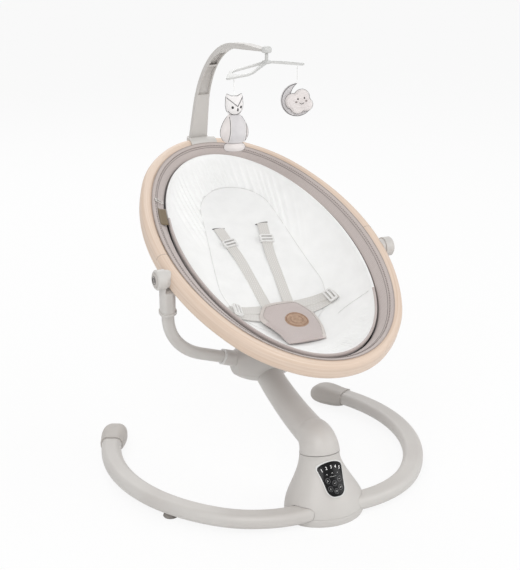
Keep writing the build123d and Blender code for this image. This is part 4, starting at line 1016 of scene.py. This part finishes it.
def padLevel(w):
    low = easeStep(padShape["lowFrom"], padShape["lowTo"], w)
    return seatLevel(0, w) + padShape["lift"] * (1 - low) + padShape["lowLift"] * low


# Whether a place is between the pad's top or side edges and its stitches
def onPadBorder(u, w):
    border = padShape["border"]
    for i in range(61):
        row, left, right = levelAt(padShape["outline"], i / 60)
        if row <= w:
            side = u > right - border or (u < border - left and w > padShape["borderEnd"])
            return side or w > padShape["outline"][0][0] - border
    return False


def makePad():
    table = [(w, left, right, padLevel(w)) for w, left, right in padShape["outline"]]
    thin, share, steps = padShape["endThin"], padShape["endShare"], padShape["rows"]
    rings = []
    for i in range(steps + 1):
        w, left, right, level = levelAt(table, i / steps)
        end = 1 - thin * max(0.0, abs(2 * i / steps - 1) - share) / (1 - share)
        ring = []
        for turn in evenTurns(padShape["around"]):
            across = math.copysign(abs(math.cos(turn)) ** padShape["sideRound"], math.cos(turn))
            rise = math.copysign(abs(math.sin(turn)) ** padShape["topRound"], math.sin(turn))
            half = right if across > 0 else left
            ring.append(seatPoint(half * across, w, level + padShape["half"] * end * rise))
        rings.append(ring)
    pad = ringMesh("crotchPad", rings)
    puff(pad, padShape["voxel"], padShape["swell"])
    dress(pad, "pad", "pad_fabric", "seat", "crotch_pad")
    pad.data.materials.append(looks["padEdge"])
    for face in pad.data.polygons:
        if onPadBorder(*seatPlace(face.center)):
            face.material_index = 1
    return pad


# Where a line along the seat's normal meets the pad
def onPad(pad, x, w, lift):
    away = (seatPoint(0, 0, 1) - seatPoint(0, 0, 0)).normalized()
    hit, place, normal, _ = pad.ray_cast(seatPoint(x, w, padShape["rayFrom"]), -away)
    if not hit:
        place, normal = seatPoint(x, w, padLevel(w)), away
    return place + normal * lift


# Stitches on a line inside the pad's edge: up one side, across the top and down the other
def makeStitches(pad):
    inset = padShape["border"]
    top = padShape["outline"][0][0] - inset
    rows = [levelAt(padShape["outline"], i / 240) for i in range(241)]
    rows = [row for row in rows if padShape["stitchEnd"] < row[0] < top]
    path = [(inset - left, w) for w, left, right in rows[::-1] if w > padShape["borderEnd"]]
    start, end = path[-1][0], rows[0][2] - inset
    path += [(start + (end - start) * k / 60, top) for k in range(1, 60)]
    path += [(right - inset, w) for w, left, right in rows]
    stitches = []
    gone = 0.0
    first = path[0]
    for before, after in zip(path, path[1:]):
        gone += math.hypot(after[0] - before[0], after[1] - before[1])
        if gone > padShape["pitch"]:
            gone = 0.0
            first = after
        elif gone > padShape["stitch"] and first:
            a, b = (onPad(pad, *spot, padShape["thread"] / 2) for spot in (first, after))
            # none where the line turns a corner
            if padShape["shortest"] < (b - a).length < padShape["longest"]:
                stitches.append(threadMesh("stitch", [a, a.lerp(b, 0.5), b], padShape["thread"]))
            first = None
    dress(joinAll("padStitches", stitches), "padThread", "pad_fabric", "seat")


def patchCircle(pad, share, lift):
    x, w, radius = padShape["patch"]
    spots = [
        (x + radius * share * math.sin(turn), w + radius * share * math.cos(turn))
        for turn in evenTurns(padShape["patchAround"])
    ]
    return [onPad(pad, *spot, lift / 1000) for spot in spots]


# Leather patch: a thin disc with two pressed rings, left bare inside
def makePatch(pad):
    rows = [patchCircle(pad, share, lift) for share, lift in padShape["patchEdge"]]
    dress(ringMesh("leatherPatch", rows), "patch", "pad_fabric", "seat")
    bands = [
        threadMesh("band", patchCircle(pad, share, padShape["patchTop"]), width, wrap=True)
        for share, width in padShape["patchRings"]
    ]
    dress(joinAll("patchRings", bands), "patchMark", "pad_fabric", "seat")


makeSling()
makeRingJoints()
ledgeCord("slingPiping", 0.06, 0.9, 0.3, "slingEdge")
ledgeCord("slingSeamAndGapShade", 0.45, 0.45, 0.2, "slingSeamAndGapShade")
makeZip()
makeZipPull()
makeTag()
print("sling sewn")
makeLiner()
makeCushion()
print("liner and cushion laid")
for side, sign in (("Left", -1), ("Right", 1)):
    low = side.lower()
    for name in ("shoulder", "waist"):
        route = [(sign * x, w) for x, w in webbing[name]]
        makeStrap(name + "Webbing" + side, route, 0, name + "_strap_" + low)
    route = [(sign * x, w) for x, w in webbing["waistBack"]]
    makeStrap("waistTail" + side, route, webbing["backDrop"])
    makeSlit(side, sign)
pad = makePad()
makeStitches(pad)
makePatch(pad)
print("harness laid")

# Stuffed toys, swollen from their CAD solids: name, look, slot, body, voxel and cap
toyParts = {
    "owl_body": ("owlBody", "plushPale", "toy_cream", "owl", 0.0022, 0.002),
    "owl_head": ("owlHead", "plushWhite", "toy_grey", "owl", 0.0018, 0.0015),
    "owl_roll": ("owlRoll", "plushPale", "toy_cream", "owl", 0.0018, 0.0015),
    "cloud": ("cloudPuff", "plushPale", "toy_white", "cloud", 0.0018, 0.002),
    "crescent_moon": ("moonPuff", "plushGrey", "toy_grey", "cloud", 0.0016, 0.0015),
}
toys = {}
for node, (name, look, slot, body, voxel, cap) in toyParts.items():
    toy = copyNode(node, name)
    puff(toy, voxel, cap)
    dress(toy, look, slot, body, node)
    toys[node] = toy
print("toys stuffed")

# The toys face this way; x runs across the face and z up, in millimetres from each middle
toyFacts = {
    "right": Vector((0.9703, -0.2419, 0)),
    "front": Vector((-0.2419, -0.9703, 0)),
    "rayFrom": 0.08,
    "owlHead": Vector((-0.0799, 0.1966, 0.703)),
    "owlBody": Vector((-0.0799, 0.1966, 0.662)),
    "owlRoll": Vector((-0.0799, 0.1966, 0.630)),
    "cloud": Vector((0.0799, 0.2694, 0.6875)),
}
toyThread = {"bold": 0.0007, "edge": 0.0006, "fine": 0.0005, "chin": 0.00045}


# Where a line from the front meets a toy
def onToy(toy, centre, x, z, lift):
    away = toyFacts["front"]
    spot = centre + (toyFacts["right"] * x + Vector((0, 0, z))) / 1000
    hit, place, normal, _ = toy.ray_cast(spot + away * toyFacts["rayFrom"], -away)
    return (place + normal * lift) if hit else None


def sewLine(toy, centre, points, radius):
    path = [onToy(toy, centre, x, z, radius * 0.4) for x, z in points]
    return threadMesh("sewn", [place for place in path if place], radius)


def sewSpot(toy, centre, x, z, halfX, halfZ, rise=0.0005):
    rows = []
    for share, lift in ((1.0, -0.0006), (1.0, 0.0), (0.8, rise * 0.8), (0.4, rise), (0.05, rise)):
        spots = [
            (x + halfX * share * math.sin(turn), z + halfZ * share * math.cos(turn))
            for turn in evenTurns(20)
        ]
        rows.append([onToy(toy, centre, *spot, lift) or centre for spot in spots])
    return ringMesh("spot", rows)


def arcPoints(x, z, radius, first, last, count):
    turns = [math.radians(first + (last - first) * k / (count - 1)) for k in range(count)]
    return [(x + radius * math.cos(turn), z + radius * math.sin(turn)) for turn in turns]


# The widest vertex of a toy in each of many thin slices or sectors
def outlinePath(toy, centre, keys):
    best = {}
    for vertex in toy.data.vertices:
        offset = (vertex.co - centre) * 1000
        key, reach = keys(offset.dot(toyFacts["right"]), offset.z)
        if key is not None and (key not in best or reach > best[key][0]):
            best[key] = (reach, vertex.co.copy())
    return [best[key][1] for key in sorted(best)]


# Sectors of so many degrees round a middle, for a toy's whole outline
def sectors(step, midX=0, midZ=0):
    def keys(x, z):
        turn = math.degrees(math.atan2(z - midZ, x - midX))
        return round(turn / step) % (360 // step), math.hypot(x - midX, z - midZ)
    return keys


# Owl: ear tufts, mask, eyes, beak, wings and dark seams, all turned a little to one side
owlFace = {
    "tuft": (1.2, 4.5), "tuftOut": (4, 13), "tuftUp": (4, 14),
    "brow": (13.5, 13.5), "apex": (4.6, -1.0),
    "eyes": (-4.4, 10.6), "eyeAt": -2.5, "eye": (2.1, 2.4),
    "beakAt": -6.5, "beak": (1.4, 3.2, 0.001),
    "chin": (0, -1, 14.2, 215, 325, 22), "wingGap": 1.2,
}


# Sides of the owl's belly panel at a height
def bellySides(z):
    return -7.2 - 0.004 * (z - 8) ** 2, 18.8 - 0.005 * z * z


def bellyLine(side, gap, radius):
    points = [(bellySides(z)[side] + gap, z) for z in range(-22, 23, 2)]
    return sewLine(owlBody, bodyAt, points, radius)


owlHead, owlBody, owlRoll = toys["owl_head"], toys["owl_body"], toys["owl_roll"]
headAt, bodyAt, rollAt = toyFacts["owlHead"], toyFacts["owlBody"], toyFacts["owlRoll"]
for vertex in owlHead.data.vertices:
    offset = (vertex.co - headAt) * 1000
    x = offset.dot(toyFacts["right"])
    tuft = easeStep(*owlFace["tuftOut"], abs(x)) * easeStep(*owlFace["tuftUp"], offset.z)
    out, up = math.copysign(owlFace["tuft"][0], x) * tuft, owlFace["tuft"][1] * tuft
    vertex.co += (toyFacts["right"] * out + Vector((0, 0, up))) / 1000
owlBody.data.materials.append(looks["plushGrey"])
for face in owlBody.data.polygons:
    offset = (face.center - bodyAt) * 1000
    low, high = bellySides(offset.z)
    if low < offset.dot(toyFacts["right"]) < high and offset.dot(toyFacts["front"]) > 0:
        face.material_index = 1
dark = []
for sign in (-1, 1):
    start, end = Vector((sign * owlFace["brow"][0], owlFace["brow"][1])), Vector(owlFace["apex"])
    brow = [start.lerp(end, k / 10) for k in range(11)]
    dark.append(sewLine(owlHead, headAt, brow, toyThread["edge"]))
dark.append(sewLine(owlHead, headAt, arcPoints(*owlFace["chin"]), toyThread["chin"]))
for toy, at, low, high in (
    (owlHead, headAt, -13, 17), (owlBody, bodyAt, -22, 23), (owlRoll, rollAt, -4, 5),
):
    for sign in (-1, 1):
        def slices(x, z):
            return round(z / 2) if low < z < high and x * sign > 0 else None, abs(x)

        dark.append(threadMesh("seam", outlinePath(toy, at, slices), toyThread["edge"]))
crown = outlinePath(
    owlHead, headAt, lambda x, z: (round(x / 2) if abs(x) < 15 and z > 4 else None, z)
)
dark.append(threadMesh("seam", crown, toyThread["bold"]))
roll = outlinePath(owlRoll, rollAt, sectors(8))
dark.append(threadMesh("seam", roll, toyThread["edge"], wrap=True))
dark.append(bellyLine(0, -owlFace["wingGap"], toyThread["fine"]))
dark.append(bellyLine(1, owlFace["wingGap"], toyThread["fine"]))
dress(joinAll("owlSeams", dark), "toySeam", "toy_grey", "owl")
spots = [sewSpot(owlHead, headAt, x, owlFace["eyeAt"], *owlFace["eye"]) for x in owlFace["eyes"]]
spots.append(sewSpot(owlHead, headAt, owlFace["apex"][0], owlFace["beakAt"], *owlFace["beak"]))
dress(joinAll("owlFace", spots), "toyDark", "toy_grey", "owl")
wings = [bellyLine(side, 0, toyThread["bold"]) for side in (0, 1)]
dress(joinAll("owlWings", wings), "plushWhite", "toy_cream", "owl")

# Cloud on its crescent: eyes, cheeks, a smile and dark seams
cloudFace = {
    "middle": (2, -2), "eyes": ((-3.5, 5.0), (8.5, 6.5)), "eye": (1.4, 1.7),
    "cheeks": ((-6.5, -0.5), (12.0, 1.2)), "cheek": (2.2, 1.8),
    "smile": (3.5, 0.5, 4.6, 210, 330, 12),
    "moonOut": (0, 0, 29.0, 75, 355, 60), "moonIn": (12.3, 8.6, 25.6, 125, 300, 40),
}
cloudToy, moonToy, cloudAt = toys["cloud"], toys["crescent_moon"], toyFacts["cloud"]
edge = outlinePath(cloudToy, cloudAt, sectors(5, *cloudFace["middle"]))
rim = [threadMesh("seam", edge, toyThread["edge"], wrap=True)]
for arc, width in (("moonOut", "edge"), ("moonIn", "fine")):
    rim.append(sewLine(moonToy, cloudAt, arcPoints(*cloudFace[arc]), toyThread[width]))
dress(joinAll("cloudSeams", rim), "toySeam", "toy_white", "cloud")
smile = sewLine(cloudToy, cloudAt, arcPoints(*cloudFace["smile"]), toyThread["fine"])
eyes = [sewSpot(cloudToy, cloudAt, *at, *cloudFace["eye"]) for at in cloudFace["eyes"]]
dress(joinAll("cloudFace", eyes + [smile]), "toyDark", "toy_white", "cloud")
cheeks = [sewSpot(cloudToy, cloudAt, *at, *cloudFace["cheek"]) for at in cloudFace["cheeks"]]
dress(joinAll("cloudCheeks", cheeks), "toyBlush", "toy_white", "cloud")
print("toys sewn")

# Touch panel print: plain digits, small marks and ringed keys, laid on the lens
panel = {
    "digits": ((-17, 92.6, 16), (-8.8, 96, 8), (0, 97.2, 0), (8.8, 96, -8), (17, 92.6, -16)),
    "digitSize": 6.6, "digitThick": 0.00012, "digitLift": 0.0002,
    "marks": ((-10.5, 86.5), (0, 88.0), (10.5, 86.5)),
    "mark": ((-1.2, -0.8), (0, 0.9), (1.2, -0.8)),
    "bar": [(k, 82.6 + 0.01 * k * k) for k in range(-6, 7, 2)],
    "keys": ((-11.2, 77.0), (0, 72.5), (11.2, 77.0), (-9.8, 65.0), (0, 60.5), (9.8, 65.0)),
    "keyRadius": 3.9,
    "glyphs": (
        ((-1.2, -1.5), (-1.2, 1.5), (1.6, 0), (-1.2, -1.5)),
        ((-1.5, 0.8), (0, -0.9), (1.5, 0.8)),
        ((-1.6, 0), (1.6, 0)),
        ((0, -1.6), (0, 1.6)),
        ((-1.3, -1.3), (-1.3, 1.3), (1.3, 1.3), (1.3, -1.3)),
        ((-1.6, -1.0), (-0.5, 1.2), (0.5, -0.6), (1.6, 1.2)),
    ),
    "stroke": 0.0003, "fine": 0.00022, "rayFrom": -0.2,
}


def onLens(x, z, lift):
    start = Vector((x / 1000, panel["rayFrom"], z / 1000))
    hit, place, normal, _ = nodes["panel_lens"].ray_cast(start, Vector((0, 1, 0)))
    return place + normal * lift if hit else None


def printLine(points, radius, wrap=False):
    path = [onLens(x, z, radius * 0.9) for x, z in points]
    return threadMesh("print", [place for place in path if place], radius, wrap, sides=4)


prints = []
for number, (x, z, turn) in enumerate(panel["digits"], 1):
    deselectAll()
    bpy.ops.object.text_add(location=(0, 0, 0))
    digit = bpy.context.object
    digit.data.body = str(number)
    digit.data.size = panel["digitSize"] / 1000
    digit.data.align_x = "CENTER"
    digit.data.align_y = "CENTER"
    digit.data.extrude = panel["digitThick"]
    digit.data.offset = panel["digitThick"]
    digit.data.resolution_u = 4
    pick(digit)
    bpy.ops.object.convert(target="MESH")
    lean = math.radians(turn)
    for vertex in digit.data.vertices:
        across, up, rise = vertex.co
        spot = (
            x + 1000 * (across * math.cos(lean) - up * math.sin(lean)),
            z + 1000 * (across * math.sin(lean) + up * math.cos(lean)),
        )
        vertex.co = onLens(*spot, panel["digitLift"] + rise)
    mergeDoubles(0.000005, outwards=True)
    prints.append(digit)
for x, z in panel["marks"]:
    prints.append(printLine([(x + a, z + b) for a, b in panel["mark"]], panel["stroke"]))
prints.append(printLine(panel["bar"], panel["fine"]))
for (x, z), stroke in zip(panel["keys"], panel["glyphs"]):
    prints.append(printLine([(x + a, z + b) for a, b in stroke], panel["stroke"]))
dress(joinAll("panelMarks", prints), "panelMark", "rim_white", "base")
rings = [
    printLine(arcPoints(x, z, panel["keyRadius"], 0, 348, 30), panel["fine"], wrap=True)
    for x, z in panel["keys"]
]
dress(joinAll("panelKeyRings", rings), "keyRing", "rim_white", "base")
print("panel printed")

# Recline buttons: a dark printed ring and a plain arrow arc, each with its width
buttonPrint = {
    "lines": (
        (arcPoints(0, 0, 7.2, 0, 350, 36), 0.0005, True),
        (arcPoints(0, 0, 4.0, -40, 220, 20), 0.0007, False),
        ([(2.0, -4.4), (3.1, -2.6), (4.9, -3.8)], 0.0007, False),
    ),
    "rayFrom": 0.4,
}
for side, sign in (("left", -1), ("right", 1)):
    button = nodes["recline_button_" + side]
    low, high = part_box("recline_button_" + side)
    hub = (low + high) / 2
    lines = []
    for points, radius, wrap in buttonPrint["lines"]:
        path = []
        for a, b in points:
            start = Vector((sign * buttonPrint["rayFrom"], hub.y + a / 1000, hub.z + b / 1000))
            hit, place, normal, _ = button.ray_cast(start, Vector((-sign, 0, 0)))
            if hit:
                path.append(place + normal * radius * 0.4)
        if len(path) > 2:
            lines.append(threadMesh("print", path, radius, wrap and len(path) == len(points)))
    if lines:
        dress(joinAll("reclinePrint" + side.title(), lines), "toySeam", "shoe", "button_" + side)
print("buttons printed")

# Studio: a pale floor, a white surround and soft lamps
studio = {
    "floorSize": 60, "floorDrop": 0.0005, "floorGlow": 0.88, "skyLight": 0.55,
    "aim": Vector((0, 0.15, 0.4)),
    # place, size in metres and watts
    "key": ((-1.6, -2.2, 2.6), 2.2, 55),
    "fill": ((2.4, -1.6, 1.8), 2.0, 26),
    "back": ((0.4, 2.6, 2.4), 2.0, 24),
}


# 1 where a ray is the camera's, or comes off gloss or through glass
def seenDirectly(tree):
    ray = addNode(tree, "ShaderNodeLightPath").outputs
    pair = {0: ray["Is Camera Ray"], 1: ray["Is Glossy Ray"]}
    either = addNode(tree, "ShaderNodeMath", pair, operation="MAXIMUM")
    three = {0: either.outputs["Value"], 1: ray["Is Transmission Ray"]}
    return addNode(tree, "ShaderNodeMath", three, operation="MAXIMUM").outputs["Value"]


deselectAll()
bpy.ops.mesh.primitive_plane_add(size=studio["floorSize"], location=(0, 0, -studio["floorDrop"]))
floor = bpy.context.object
floor.name = "studioFloor"
settle(floor)
paper = bpy.data.materials.new("paleFloor")
paper.use_nodes = True
paperTree = paper.node_tree
paperShader = paperTree.nodes["Principled BSDF"]
paperShader.inputs["Base Color"].default_value = hexColour("f7f7f7")
paperShader.inputs["Roughness"].default_value = 0.9
glow = addNode(paperTree, "ShaderNodeEmission", {"Color": (1, 1, 1, 1), "Strength": 1.0})
glowing = {0: seenDirectly(paperTree), 1: studio["floorGlow"]}
seen = addNode(paperTree, "ShaderNodeMath", glowing, operation="MULTIPLY")
either = addNode(paperTree, "ShaderNodeMixShader", {"Fac": seen.outputs["Value"]})
paperTree.links.new(paperShader.outputs["BSDF"], either.inputs[1])
paperTree.links.new(glow.outputs["Emission"], either.inputs[2])
paperTree.links.new(either.outputs["Shader"], paperTree.nodes["Material Output"].inputs["Surface"])
floor.data.materials.append(paper)

world = bpy.data.worlds.new("whiteRoom")
bpy.context.scene.world = world
world.use_nodes = True
sky = world.node_tree.nodes["Background"]
sky.inputs["Color"].default_value = (1, 1, 1, 1)
skyTree = world.node_tree
skyRange = {"Value": seenDirectly(skyTree), "To Min": studio["skyLight"], "To Max": 1.0}
skyLevel = addNode(skyTree, "ShaderNodeMapRange", skyRange)
skyTree.links.new(skyLevel.outputs["Result"], sky.inputs["Strength"])
for name in ("key", "fill", "back"):
    place, size, power = studio[name]
    light = bpy.data.lights.new(name, "AREA")
    light.size = size
    light.energy = power
    lamp = bpy.data.objects.new(name, light)
    lamp.location = place
    aim = studio["aim"] - Vector(place)
    lamp.rotation_euler = aim.to_track_quat("-Z", "Y").to_euler()
    bpy.context.scene.collection.objects.link(lamp)
print("lights set")
